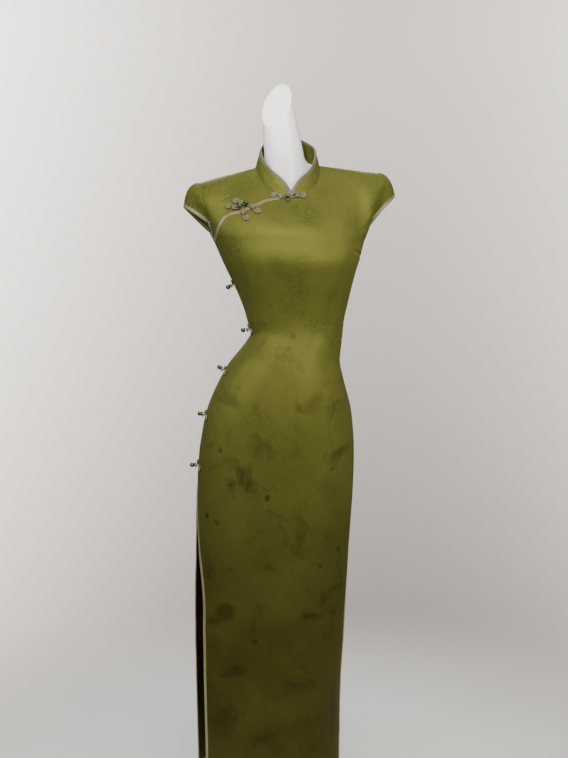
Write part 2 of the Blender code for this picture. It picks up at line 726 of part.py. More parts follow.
def cloth_tree():
    """The faces of every cloth solid made so far, for laying the frogs on them."""
    points, faces = [], []
    for made in bpy.context.scene.objects:
        start = len(points)
        points += [v.co.copy() for v in made.data.vertices]
        faces += [tuple(start + i for i in p.vertices) for p in made.data.polygons]
    return BVHTree.FromPolygons(points, faces)


def make_frog(tree, row):
    frog = dict(zip(FROG_COLUMNS, row))
    looks = np.array(frog["looks"], float)
    place, hit_normal, _, _ = tree.ray_cast(
        Vector(np.array(frog["root"]) + looks * 0.1), Vector(-looks), 0.3
    )
    root, normal = np.array(place), unit(np.array(hit_normal))
    lines = []
    for half in ("knot", "loop"):
        small_at, big_at = frog[f"{half}_at"]
        path = frog_path(small_at * MM, big_at * MM)
        along = np.array(frog[half], float)
        along = unit(along - normal * (along @ normal))
        line = lay_cord(tree, root, along, normal, path, frog["rise"] * MM)
        tube(f"{frog['name']}_{half}", line, CORD / 2, 5, "cord")
        lines.append(line - root)
    cord = np.concatenate(lines)
    height = cord @ normal
    aside = np.linalg.norm(cord - height[:, None] * normal, axis=1)
    reach = BEAD / 2 + CORD / 2 + SEAM
    seat = (height + np.sqrt(np.maximum(reach**2 - aside**2, 0)))[aside < reach].max()
    turned(f"{frog['name']}_bead", root + normal * seat, normal, bead_profile(), 8, "bead")


# Dress form


def form_grid(side, heights):
    """The body surface drawn in by a clearance, wider down from the bust and under the underlap."""
    shares = np.broadcast_to(SHARES, heights.shape)
    points, normals = body(side, shares, heights), body_normal(side, shares, heights)
    clearance = 1.8 * MM + 1.2 * MM * (1 - ease(heights, 0.80, 1.12))
    if side < 0:
        clearance += 5.2 * MM * ease(-shares, 0.0, 0.2) * ease(heights, 1.205, 1.24)
    return points - normals * clearance[..., None]


def make_form():
    """Torso, shoulder caps and slant-cut neck, as one smooth closed body."""
    level = [FORM_FOOT, *[h for h in LEVEL_ROWS if h > FORM_FOOT + 0.02], *YOKE_LEVELS]
    heights = np.repeat(np.array(level)[:, None], len(SHARES), axis=1)
    front, back = form_grid(-1, heights), form_grid(1, heights)
    armpit_row = int(np.searchsorted(heights[:, 0], ARMPIT))
    below = slice(0, armpit_row)
    for column in (0, -1):
        shared = (front[below, column] + back[below, column]) / 2
        front[below, column] = back[below, column] = shared
    shoulder = np.abs(SHARES) >= NECK_SHARE - 1e-9
    shared = (front[-1, shoulder] + back[-1, shoulder]) / 2
    front[-1, shoulder] = back[-1, shoulder] = shared
    points, index, faces = [], {}, []

    def at(spot):
        key = tuple(np.round(np.asarray(spot) * 1e6).astype(int))
        if key not in index:
            index[key] = len(points)
            points.append(np.asarray(spot, float))
        return index[key]

    for grid, flip in ((front, False), (back, True)):
        for row in range(grid.shape[0] - 1):
            for column in range(grid.shape[1] - 1):
                loop = [
                    at(grid[row, column]), at(grid[row, column + 1]),
                    at(grid[row + 1, column + 1]), at(grid[row + 1, column]),
                ]
                faces.append(turn_over(loop) if flip else tuple(loop))

    def close(loop, centre, flip):
        """Fills a loop of points with a fan to a centre."""
        middle = at(centre)
        for a, b in zip(loop, loop[1:] + loop[:1]):
            faces.append((middle, b, a) if flip else (middle, a, b))

    foot = [at(p) for p in front[0]] + [at(p) for p in back[0][::-1][1:-1]]
    close(foot, np.mean([points[i] for i in foot], axis=0), True)
    for column, hand in ((0, -1), (-1, 1)):
        hole = [at(p) for p in front[armpit_row - 1:, column]]
        hole += [at(p) for p in back[armpit_row:, column][::-1][1:]]
        centre = np.mean([points[i] for i in hole], axis=0) + np.array([hand * 6 * MM, 0, 0])
        close(hole, centre, hand > 0)
    inside = [i for i in range(len(SHARES)) if abs(SHARES[i]) <= NECK_SHARE + 1e-9]
    seam = [at(front[-1, i]) for i in inside] + [at(back[-1, i]) for i in reversed(inside[1:-1])]
    ring = seam
    for level_ring_points in neck_rings(np.array([points[i] for i in seam])):
        upper = [at(p) for p in level_ring_points]
        for k in range(len(ring)):
            n = (k + 1) % len(ring)
            faces.append((ring[k], ring[n], upper[n], upper[k]))
        ring = upper
    close(ring, np.mean([points[i] for i in ring], axis=0), False)
    add_mesh("dress_form", points, faces, "form")


def neck_rings(seam):
    """Rings from the neck seam up to the slanting cut, where lines up the neck meet its plane."""
    low, top = (np.array(v[:3]) for v in (NECK_LOW, NECK_TOP))
    centre = seam.mean(axis=0)
    angle = np.arctan2(seam[:, 1] - centre[1], seam[:, 0] - centre[0])
    circle = np.stack([np.cos(angle), np.sin(angle), np.zeros_like(angle)], axis=1)
    low_ring = low + circle * np.array([NECK_LOW[3], NECK_LOW[4], 0])
    low_ring[:, 2] += 0.12 * circle[:, 1] * NECK_LOW[4]
    top_ring = top + circle * np.array([NECK_TOP[3], NECK_TOP[4], 0])
    normal, point = np.array(NECK_CUT_NORMAL), np.array(NECK_CUT_POINT)
    climb = ((point - low_ring) @ normal) / ((top_ring - low_ring) @ normal)
    lean = low_ring + (top_ring - low_ring) * climb[:, None]
    rings = [seam + (low_ring - seam) * np.array([0.78, 0.78, 0.26])]
    rings += [seam + (low_ring - seam) * np.array([0.94, 0.94, 0.60]), low_ring]
    rings += [low_ring + (lean - low_ring) * share for share in (0.33, 0.67, 1.0)]
    return rings


def make_stand():
    """Pole under the form, and the round plate it stands on."""
    foot_middle = np.array([0.0, 0.012, 0.0])
    up = np.array([0.0, 0.0, 1.0])
    edge = 2.5 * MM
    plate = [
        (0, 0), (BASE_RADIUS, 0), (BASE_RADIUS, BASE_HEIGHT - edge),
        (BASE_RADIUS - edge, BASE_HEIGHT), (0, BASE_HEIGHT),
    ]
    turned("base_plate", np.zeros(3), up, plate, 32, "metal")
    collar_height, collar_radius = 0.030, 0.024
    bottom = BASE_HEIGHT + SEAM
    pole = [
        (0, 0), (collar_radius, 0), (collar_radius, collar_height - edge),
        (collar_radius - edge, collar_height), (POLE_RADIUS, collar_height),
        (POLE_RADIUS, FORM_FOOT - SEAM - bottom), (0, FORM_FOOT - SEAM - bottom),
    ]
    turned("pole", foot_middle + up * bottom, up, pole, 16, "metal")


def main():
    for old in list(bpy.data.objects):
        bpy.data.objects.remove(old)
    grids = make_panels()
    underlap = make_underlap()
    make_edge_bands(grids)
    make_collar()
    for hand, name in ((-1, "right"), (1, "left")):
        make_sleeve(hand, name, grids, underlap)
    make_underarm_bands(grids, underlap)
    bpy.context.view_layer.update()
    tree = cloth_tree()
    for row in FROGS:
        make_frog(tree, row)
    make_form()
    make_stand()


main()
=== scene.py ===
"""A floor-length silk cheongsam on a limbless dress form.

Metres, +Z up. The dress faces -Y, so the wearer's right side, where it opens, is at -X.
"""

import json
import math

import bmesh
import bpy
import numpy as np
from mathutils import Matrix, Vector
from mathutils.bvhtree import BVHTree

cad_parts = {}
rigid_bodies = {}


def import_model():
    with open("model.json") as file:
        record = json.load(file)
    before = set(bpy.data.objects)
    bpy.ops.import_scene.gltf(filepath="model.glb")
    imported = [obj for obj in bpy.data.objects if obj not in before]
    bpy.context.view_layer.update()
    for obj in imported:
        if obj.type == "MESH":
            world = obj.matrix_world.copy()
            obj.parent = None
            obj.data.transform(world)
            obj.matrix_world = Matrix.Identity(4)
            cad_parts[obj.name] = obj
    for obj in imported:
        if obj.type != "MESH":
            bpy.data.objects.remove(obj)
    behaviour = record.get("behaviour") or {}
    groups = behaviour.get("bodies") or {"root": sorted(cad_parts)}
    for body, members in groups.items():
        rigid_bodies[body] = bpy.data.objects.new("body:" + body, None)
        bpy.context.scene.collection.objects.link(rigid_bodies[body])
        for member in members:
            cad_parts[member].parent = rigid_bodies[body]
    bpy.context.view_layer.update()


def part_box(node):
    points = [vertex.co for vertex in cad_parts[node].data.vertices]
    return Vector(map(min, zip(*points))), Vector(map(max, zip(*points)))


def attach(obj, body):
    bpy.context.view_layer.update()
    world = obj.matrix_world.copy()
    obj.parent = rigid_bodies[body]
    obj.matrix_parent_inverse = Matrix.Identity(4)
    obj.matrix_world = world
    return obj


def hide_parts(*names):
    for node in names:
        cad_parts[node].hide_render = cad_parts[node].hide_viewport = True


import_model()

# Base plate and pole. The plate is turned steel and the pole a steel tube in a turned foot,
# both satin nickel plated. The tube goes up into the form's lower end.
MM = 0.001
PLATE_RADIUS, PLATE_HEIGHT = 0.170, 0.012
POLE_RADIUS, POLE_BACK, POLE_TOP = 0.0125, 0.012, 0.6197
POLE_FOOT_RADIUS, POLE_FOOT_HEIGHT = 0.024, 0.030
NICKEL_HEX = "#D3D1CC"
# The turning's feed, whose rings are drawn about twice as far apart
TURNING_PITCH = 0.9 * MM


def linear(hex_colour):
    """sRGB hex to linear: the standard curve on each of red, green and blue."""
    parts = [int(hex_colour[i:i + 2], 16) / 255 for i in (1, 3, 5)]
    return (*[p / 12.92 if p <= 0.04045 else ((p + 0.055) / 1.055) ** 2.4 for p in parts], 1)


def add_node(tree, kind, inputs=None, **settings):
    """Adds a node, sets its own settings, and sets or links each of its inputs."""
    made = tree.nodes.new(kind)
    for name, value in settings.items():
        setattr(made, name, value)
    for key, value in (inputs or {}).items():
        if isinstance(value, bpy.types.NodeSocket):
            tree.links.new(value, made.inputs[key])
        else:
            made.inputs[key].default_value = value
    return made


def new_finish(name, **constants):
    """A material with its shader's constants set. Returns it, its tree and its shader."""
    made = bpy.data.materials.new(name)
    made.use_nodes = True
    shader = made.node_tree.nodes["Principled BSDF"]
    for key, value in constants.items():
        shader.inputs[key.replace("_", " ")].default_value = value
    return made, made.node_tree, shader


def link_shader(tree, shader, **sockets):
    """Links what each named input of the shader reads."""
    for key, socket in sockets.items():
        tree.links.new(socket, shader.inputs[key.replace("_", " ")])


def grid_quads(rows, columns, start=0, round_columns=False):
    """Four-sided faces between neighbouring points of a grid that is counted row by row."""
    row, column = np.meshgrid(
        np.arange(rows - 1), np.arange(columns if round_columns else columns - 1), indexing="ij"
    )
    beside = (column + 1) % columns
    quads = [row * columns + column, row * columns + beside]
    quads += [(row + 1) * columns + beside, (row + 1) * columns + column]
    return np.stack(quads, axis=-1).reshape(-1, 4) + start


def outward(points, faces, way):
    """The faces turned so that, summed over them all, they look along the given ways."""
    a, b, c = (points[faces[:, k]] for k in (0, 1, 2))
    return faces if np.sum(np.cross(b - a, c - a) * way) > 0 else faces[:, ::-1]


def make_piece(name, points, faces, finish, nodes, uv=None, weld=False):
    """Puts points and faces into a mesh object that rides on the part."""
    mesh = bpy.data.meshes.new(name)
    mesh.from_pydata(points.reshape(-1, 3).tolist(), [], faces.tolist())
    if uv is not None:
        layer = mesh.uv_layers.new(name="cloth")
        corners = np.empty(len(mesh.loops), dtype=np.int32)
        mesh.loops.foreach_get("vertex_index", corners)
        layer.data.foreach_set("uv", uv.reshape(-1, 2)[corners].astype(np.float32).ravel())
    if weld:
        work = bmesh.new()
        work.from_mesh(mesh)
        bmesh.ops.remove_doubles(work, verts=work.verts, dist=0.01 * MM)
        work.to_mesh(mesh)
        work.free()
    mesh.update()
    mesh.shade_smooth()
    mesh.set_sharp_from_angle(angle=math.radians(42))
    mesh.materials.append(finish)
    made = bpy.data.objects.new(name, mesh)
    bpy.context.scene.collection.objects.link(made)
    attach(made, "root")
    if nodes:
        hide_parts(*nodes)
    return made


def turned_piece(name, profile, centre, node, finish, around=128):
    """A profile of (radius, height) turned once round the upright through the centre."""
    profile = np.array(profile, float)
    turn = np.arange(around) * 2 * math.pi / around
    circle = np.stack([np.cos(turn), np.sin(turn), np.zeros_like(turn)], axis=-1)
    points = profile[:, None, :1] * circle + profile[:, None, 1:] * np.array([0, 0, 1.0])
    faces = grid_quads(len(profile), around, round_columns=True)
    flat = points.reshape(-1, 3)
    middle = flat[faces].mean(axis=1)
    faces = outward(flat, faces, middle - middle.mean(axis=0))
    return make_piece(name, flat + np.array(centre), faces, finish, [node], weld=True)


def rounded_edge(radius, height, fillet, steps=6):
    """Profile points on a quarter circle that rounds an outer top edge, from the side up."""
    turn = np.linspace(0, math.pi / 2, steps)
    return [
        (radius - fillet + fillet * math.cos(t), height - fillet + fillet * math.sin(t))
        for t in turn
    ]


def satin_nickel():
    """Nickel plate over steel brushed while it turned: rings of fine scratches blur the light."""
    finish, tree, shader = new_finish(
        "satin nickel plate", Metallic=1.0, Roughness=0.34, Anisotropic=0.5
    )
    place = add_node(tree, "ShaderNodeTexCoord").outputs["Object"]
    rings = add_node(
        tree, "ShaderNodeTexWave", {"Vector": place, "Scale": 0.16 / TURNING_PITCH,
                                    "Distortion": 0.6, "Detail": 2.0},
        wave_type="RINGS", rings_direction="Z",
    )
    cloud = add_node(tree, "ShaderNodeTexNoise", {"Vector": place, "Scale": 24.0, "Detail": 4.0})
    wear = add_node(
        tree, "ShaderNodeMapRange",
        {"Value": cloud.outputs["Fac"], "From Min": 0.35, "From Max": 0.7, "To Min": 0.28,
         "To Max": 0.42},
    )
    tint = add_node(
        tree, "ShaderNodeMix", {0: cloud.outputs["Fac"], 6: linear(NICKEL_HEX),
                                7: linear("#BDBBB5")}, data_type="RGBA",
    )
    bump = add_node(
        tree, "ShaderNodeBump", {"Height": rings.outputs["Fac"], "Strength": 0.05,
                                 "Distance": 0.1 * MM},
    )
    link_shader(
        tree, shader, Base_Color=tint.outputs[2], Roughness=wear.outputs[0], Normal=bump.outputs[0],
    )
    return finish


nickel = satin_nickel()
turned_piece(
    "steel_plate",
    [(0, 0), (PLATE_RADIUS - MM, 0), (PLATE_RADIUS, MM),
     *rounded_edge(PLATE_RADIUS, PLATE_HEIGHT, 3 * MM),
     (0.75 * PLATE_RADIUS, PLATE_HEIGHT), (0.5 * PLATE_RADIUS, PLATE_HEIGHT),
     (0.25 * PLATE_RADIUS, PLATE_HEIGHT), (0, PLATE_HEIGHT)],
    (0, 0, 0), "base_plate", nickel,
)
turned_piece(
    "steel_pole",
    [(0, 0), (POLE_FOOT_RADIUS, 0), *rounded_edge(POLE_FOOT_RADIUS, POLE_FOOT_HEIGHT, 3 * MM),
     (POLE_RADIUS + 2 * MM, POLE_FOOT_HEIGHT), (POLE_RADIUS, POLE_FOOT_HEIGHT + MM),
     (POLE_RADIUS, 0.2), (POLE_RADIUS, 0.4), (POLE_RADIUS, POLE_TOP - PLATE_HEIGHT),
     (0, POLE_TOP - PLATE_HEIGHT)],
    (0, POLE_BACK, PLATE_HEIGHT), "pole", nickel, around=48,
)

# Dress form. A limbless figure moulded in one piece of white plastic and polished, with flat
# capped armholes and a neck cut on a slant. Its surface follows the inside of the dress.
HEM, SLIT_TOP, ARMPIT, SHOULDER = 0.060, 0.700, 1.235, 1.395
FORM_FOOT, NECK_START = 0.620, 1.410
FORM_MIDDLE = np.array([0.02, 0.0, 1.1])
# Share across, each way, at which the neckline ends and the shoulder seam starts
NECK_SHARE = 0.36
SHOULDER_TIPS = {-1: (-0.168, 0.004, 1.357), 1: (0.230, 0.004, 1.385)}
NECK_SIDES = {-1: (-0.040, 0.004, 1.392), 1: (0.098, 0.004, 1.398)}
NECK_PIT, NAPE = (0.026, -0.060, 1.325), (0.030, 0.056, 1.413)
NECK_LOW, NECK_LOW_RADII = (0.0180, -0.005, 1.430), (0.0425, 0.0405)
NECK_TOP, NECK_TOP_RADII = (-0.0078, -0.020, 1.600), (0.0295, 0.030)
# The slanting plane that cuts the neck off
NECK_CUT_POINT, NECK_CUT_NORMAL = (-0.001, -0.016, 1.522), (-0.555, -0.68, 0.478)
# Level sections of the worn dress, inside the cloth: outlines at the wearer's right and
# left, the centre line, depths in front and behind, and how square the oval is.
SECTION_COLUMNS = ("height", "right", "left", "middle", "front", "back", "square")
BODY_SECTIONS = (
    (0.060, -0.169, 0.144, -0.012, 0.080, 0.096, 0.88),
    (0.230, -0.173, 0.146, -0.010, 0.084, 0.102, 0.88),
    (0.420, -0.176, 0.157, -0.008, 0.090, 0.110, 0.90),
    (0.560, -0.174, 0.164, -0.004, 0.094, 0.118, 0.90),
    (0.700, -0.171, 0.174, 0.002, 0.099, 0.127, 0.92),
    (0.790, -0.164, 0.175, 0.006, 0.102, 0.130, 0.94),
    (0.865, -0.149, 0.168, 0.010, 0.101, 0.122, 0.95),
    (0.932, -0.120, 0.151, 0.016, 0.096, 0.102, 0.95),
    (0.968, -0.099, 0.143, 0.022, 0.091, 0.091, 0.95),
    (1.003, -0.070, 0.146, 0.030, 0.085, 0.081, 0.95),
    (1.029, -0.053, 0.149, 0.036, 0.082, 0.077, 0.95),
    (1.060, -0.060, 0.152, 0.040, 0.084, 0.078, 0.94),
    (1.100, -0.072, 0.160, 0.041, 0.093, 0.085, 0.90),
    (1.140, -0.089, 0.169, 0.039, 0.110, 0.093, 0.86),
    (1.185, -0.111, 0.181, 0.036, 0.123, 0.101, 0.83),
    (1.235, -0.133, 0.196, 0.034, 0.116, 0.106, 0.85),
)
SECTIONS = dict(zip(SECTION_COLUMNS, np.array(BODY_SECTIONS).T))


def run_length(points):
    """Distance run along a line of points, 0 at its first."""
    steps = np.linalg.norm(np.diff(points, axis=0), axis=-1)
    return np.concatenate([[0], np.cumsum(steps)])


def hermite(t, start, end, start_slope, end_slope):
    """The cubic from start to end that has the given slopes there."""
    return (
        (2 * t**3 - 3 * t**2 + 1) * start + (3 * t**2 - 2 * t**3) * end
        + (t**3 - 2 * t**2 + t) * start_slope + (t**3 - t**2) * end_slope
    )


def smooth_read(at, places, values):
    """A cubic through a table's points, whose slopes come from each point's neighbours."""
    slopes = np.gradient(values, places)
    at = np.clip(at, places[0], places[-1])
    low = np.clip(np.searchsorted(places, at, side="right") - 1, 0, len(places) - 2)
    span = places[low + 1] - places[low]
    return hermite(
        (at - places[low]) / span,
        values[low], values[low + 1], slopes[low] * span, slopes[low + 1] * span,
    )


def ease(value, low, high):
    """0 below low, 1 above high, and 3t^2 - 2t^3 between them."""
    t = np.clip((value - low) / (high - low), 0, 1)
    return t * t * (3 - 2 * t)


def bell(value, middle, reach):
    """exp(-d^2), where d is the distance from the middle in reaches."""
    return np.exp(-(((value - middle) / reach) ** 2))


def unit(vectors):
    """Each vector over its own length."""
    return vectors / np.maximum(np.linalg.norm(vectors, axis=-1, keepdims=True), 1e-12)


def level_ring(side, share, height):
    """Half an oval at one height. share is the angle over 90 degrees, -1 at the wearer's right
    to 1 at the left. Sine and cosine are raised to a power that makes the oval squarer."""
    read = {k: smooth_read(height, SECTIONS["height"], SECTIONS[k]) for k in SECTION_COLUMNS[1:]}
    angle = share * math.pi / 2
    across = np.abs(np.sin(angle)) ** read["square"]
    deep = np.maximum(np.cos(angle), 0) ** read["square"]
    reach = np.where(share > 0, read["left"] - read["middle"], read["right"] - read["middle"])
    depth = read["front"] if side < 0 else read["back"]
    return np.stack([read["middle"] + reach * across, side * depth * deep, height], axis=-1)


def top_line(side, share):
    """Straight shoulder seams outside NECK_SHARE, and between them a neckline whose swing
    goes as a sine and whose rise goes as one minus a cosine."""
    right = (share < 0)[..., None]
    neck = np.where(right, NECK_SIDES[-1], NECK_SIDES[1])
    tip = np.where(right, SHOULDER_TIPS[-1], SHOULDER_TIPS[1])
    middle = np.array(NECK_PIT if side < 0 else NAPE)
    along = np.clip((np.abs(share) - NECK_SHARE) / (1 - NECK_SHARE), 0, 1)[..., None]
    turn = np.clip(np.abs(share) / NECK_SHARE, 0, 1) * math.pi / 2
    swing, rise = np.sin(turn), 1 - np.cos(turn)
    neckline = middle + (neck - middle) * np.stack([swing, rise, rise], axis=-1)
    return np.where(np.abs(share)[..., None] >= NECK_SHARE, neck + (tip - neck) * along, neckline)


def yoke(side, share, rise):
    """Cubics from the armpit line to the top line, which leave upwards and arrive inwards."""
    level = np.full_like(share, ARMPIT)
    start = level_ring(side, share, level)
    slope = (start - level_ring(side, share, level - MM)) / MM
    end = top_line(side, share)
    reach = np.linalg.norm(end - start, axis=-1, keepdims=True)
    edge = ease(np.abs(share), 0.55, 1.0)
    neck = 1 - ease(np.abs(share), 0.4 * NECK_SHARE, 1.9 * NECK_SHARE)
    inward = ease(np.abs(share), 0, 0.8 * NECK_SHARE) * (1 - ease(np.abs(share), NECK_SHARE, 0.85))
    lead_out = slope * reach
    lead_out[..., 1] += side * 0.18 * edge
    over = -side * (0.11 + 0.045 * edge) * (1 - neck) - side * 0.03 * neck
    lead_in = np.stack([-0.055 * inward * np.sign(share), over, 0.03 + 0.06 * neck], axis=-1)
    return hermite(rise[..., None], start, end, lead_out, lead_in)


def figure(side, share, height):
    """The inside of the dress: level ovals up to the armpit, and the yoke's cubics above it."""
    share, height = np.broadcast_arrays(np.asarray(share, float), np.asarray(height, float))
    low = level_ring(side, share, np.minimum(height, ARMPIT))
    high = yoke(side, share, np.clip((height - ARMPIT) / (SHOULDER - ARMPIT), 0, 1))
    return np.where((height > ARMPIT)[..., None], high, low)


def figure_normal(side, share, height):
    """Outward unit vector: the cross product of the surface's slopes across and up."""
    share, height = np.broadcast_arrays(np.asarray(share, float), np.asarray(height, float))
    across = figure(side, np.minimum(share + 0.004, 1), height) - figure(
        side, np.maximum(share - 0.004, -1), height
    )
    up = figure(side, share, np.minimum(height + 1.5 * MM, SHOULDER)) - figure(
        side, share, np.maximum(height - 1.5 * MM, HEM)
    )
    return unit(np.cross(across, up) * -side)


def form_surface(side, share, height):
    """The figure drawn in along its normals: 1.8 mm at the bust, 3 mm below the waist, more
    under the lapped cloth at the upper right, and rounded in at the foot."""
    clearance = 1.8 * MM + 1.2 * MM * (1 - ease(height, 0.80, 1.12))
    if side < 0:
        clearance = clearance + 5.2 * MM * ease(-share, 0, 0.2) * ease(height, 1.205, 1.24)
    foot = np.clip(1 - (height - FORM_FOOT) / (4 * MM), 0, 1)
    clearance = clearance + 4 * MM * (1 - np.sqrt(1 - foot**2))
    return figure(side, share, height) - figure_normal(side, share, height) * clearance[..., None]


def neck_rings(seam):
    """Rings that climb from the neck seam: cubics that leave inwards and arrive along the neck,
    then straight lines to a tilted plane, and an edge rounded over by 3 mm."""
    low, top = np.array(NECK_LOW), np.array(NECK_TOP)
    about = seam.mean(axis=0)
    turn = np.arctan2(seam[:, 1] - about[1], seam[:, 0] - about[0])
    circle = np.stack([np.cos(turn), np.sin(turn), np.zeros_like(turn)], axis=1)
    low_ring = low + circle * np.array([*NECK_LOW_RADII, 0])
    low_ring[:, 2] += 0.12 * circle[:, 1] * NECK_LOW_RADII[1]
    top_ring = top + circle * np.array([*NECK_TOP_RADII, 0])
    normal, point = unit(np.array(NECK_CUT_NORMAL)), np.array(NECK_CUT_POINT)
    climb = ((point - low_ring) @ normal) / ((top_ring - low_ring) @ normal)
    lean = low_ring + (top_ring - low_ring) * climb[:, None]
    reach = np.linalg.norm(low_ring - seam, axis=1, keepdims=True)
    up = unit(lean - low_ring)
    leave = unit((low_ring - seam) * np.array([1, 1, 0.12])) * reach * 1.35
    rise = np.linspace(0, 1, 22)[:, None, None]
    side = np.concatenate([
        hermite(rise, seam, low_ring, leave, up * reach * 1.7)[:-1],
        low_ring + (lean - low_ring) * np.linspace(0, 0.985, 34)[:, None, None],
    ])
    middle = lean.mean(axis=0)
    inset = np.array([0.35, 0.9, 1.8, 3.2])[:, None, None] * MM
    sunk = np.array([0.62, 0.22, 0.04, 0.0])[:, None, None] * MM
    inward = unit(middle - lean)
    rim = lean + inward * inset - normal * sunk
    face = middle + (rim[-1] - middle) * np.array([0.8, 0.55, 0.3, 0.12, 0.0])[:, None, None]
    return np.concatenate([side, rim, face])


def polished_plastic():
    """Moulded polystyrene, lacquered white: a clear gloss over faint waves from the mould."""
    finish, tree, shader = new_finish(
        "gloss lacquered white plastic", Roughness=0.36, IOR=1.5, Coat_Weight=0.4,
        Coat_Roughness=0.22, Subsurface_Weight=0.06, Subsurface_Scale=0.004,
    )
    place = add_node(tree, "ShaderNodeTexCoord").outputs["Object"]
    cloud = add_node(tree, "ShaderNodeTexNoise", {"Vector": place, "Scale": 9.0, "Detail": 5.0})
    tint = add_node(
        tree, "ShaderNodeMix", {0: cloud.outputs["Fac"], 6: linear("#FFFFFF"),
                                7: linear("#F6F4F2")}, data_type="RGBA",
    )
    peel = add_node(
        tree, "ShaderNodeTexNoise", {"Vector": place, "Scale": 1 / (2.5 * MM), "Detail": 1.0}
    )
    waves = add_node(tree, "ShaderNodeTexNoise", {"Vector": place, "Scale": 22.0, "Detail": 1.0})
    fine = add_node(
        tree, "ShaderNodeBump", {"Height": peel.outputs["Fac"], "Strength": 0.06,
                                 "Distance": 0.1 * MM},
    )
    bump = add_node(
        tree, "ShaderNodeBump", {"Height": waves.outputs["Fac"], "Strength": 0.12,
                                 "Distance": 1.0 * MM, "Normal": fine.outputs[0]},
    )
    link_shader(tree, shader, Base_Color=tint.outputs[2], Normal=bump.outputs[0])
    return finish


def make_form():
    """Front and back surfaces, a sunk cap in each armhole, a flat foot and the neck."""
    columns, rows, inside = 97, 120, 41
    outer = np.linspace(NECK_SHARE, 1, (columns - inside) // 2 + 1)[1:]
    share = np.concatenate([-outer[::-1], np.linspace(-NECK_SHARE, NECK_SHARE, inside), outer])
    height = np.concatenate([
        FORM_FOOT + np.array([0, 0.4, 1.2, 2.4, 4.0]) * MM,
        np.linspace(FORM_FOOT + 8 * MM, ARMPIT, rows)[:-1], np.linspace(ARMPIT, SHOULDER, 34),
    ])
    armpit = int(np.argmin(np.abs(height - ARMPIT)))
    share_grid, height_grid = np.meshgrid(share, height)
    front, back = (form_surface(s, share_grid, height_grid) for s in (-1, 1))
    for edge in (0, -1):
        shared = (front[:armpit + 1, edge] + back[:armpit + 1, edge]) / 2
        front[:armpit + 1, edge] = back[:armpit + 1, edge] = shared
    seamed = np.abs(share) >= NECK_SHARE - 1e-9
    shared = (front[-1, seamed] + back[-1, seamed]) / 2
    front[-1, seamed] = back[-1, seamed] = shared
    across = np.linspace(0, 1, 13)[None, :, None]
    patches = [front, back]
    for edge, hand in ((0, -1), (-1, 1)):
        rim_front, rim_back = front[armpit:, edge][:, None], back[armpit:, edge][:, None]
        up = np.linspace(0, 1, rim_front.shape[0])[:, None, None]
        bow = -8 * MM * 4 * across * (1 - across) * np.sin(math.pi * up) ** 0.5
        patches.append(rim_front + (rim_back - rim_front) * across
                       + bow * np.array([hand, 0, 0.0]))
    patches.append(front[0][:, None] + (back[0] - front[0])[:, None] * across)
    within = np.nonzero(np.abs(share) <= NECK_SHARE + 1e-9)[0]
    seam = np.concatenate([front[-1, within], back[-1, within[1:-1][::-1]]])
    rings = neck_rings(seam)
    points, faces, count = [], [], 0
    for patch in patches + [rings]:
        flat = patch.reshape(-1, 3)
        quads = grid_quads(*patch.shape[:2], round_columns=patch is rings)
        centre = flat[quads].mean(axis=1)
        level = centre[:, 2:]
        core = np.where(level > FORM_FOOT + MM, FORM_MIDDLE * [1, 1, 0] + centre * [0, 0, 1],
                        FORM_MIDDLE)
        core = np.where(level > NECK_START, seam.mean(axis=0), core)
        faces.append(outward(flat, quads, centre - core) + count)
        points.append(flat)
        count += len(flat)
    return make_piece(
        "white_form", np.concatenate(points), np.concatenate(faces), polished_plastic(),
        ["dress_form"], weld=True,
    )


make_form()

# Front, underlap and back of the dress. Each is one piece of olive silk satin, shaped by darts
# and pulled to the figure. Their raw edges are turned in at the seams, and bound at the rest.
CLOTH = 1.3 * MM
# Below this height the slits' edges stand back in full, by these shares, by side and hand
SLIT_FULL = 0.420
SLIT_BACK_OFF = {(-1, -1): 24 / 90, (-1, 1): 13 / 90, (1, -1): 6 / 90, (1, 1): 6 / 90}
# Where the front laps over the underlap: how far it is lifted, and how deep the lap is
LAP_LIFT, LAP_DEPTH = 1.7 * MM, 12 * MM
# Heights: the panels' last level row, the lowest that the underlap and the opening may be
LEVEL_TOP, UNDERLAP_FOOT, OPENING_FOOT = 1.205, 1.212, 1.217
# The curved opening's edge seen from the front: across and height
OPENING = np.array((
    (-0.1345, 1.2290), (-0.1325, 1.2500), (-0.1265, 1.2690), (-0.1125, 1.2842),
    (-0.0990, 1.2893), (-0.0885, 1.2912), (-0.0667, 1.3006), (-0.0464, 1.3085),
    (-0.0340, 1.3145), (-0.0186, 1.3192), (0.0020, 1.3227), (0.0140, 1.3240), (0.0260, 1.3250),
))
# Share across at which each dart lies, and the heights that it runs between
DARTS = {-1: 0.63, 1: 0.45}
DART_SPAN = {-1: (0.955, 1.165), 1: (0.915, 1.20)}
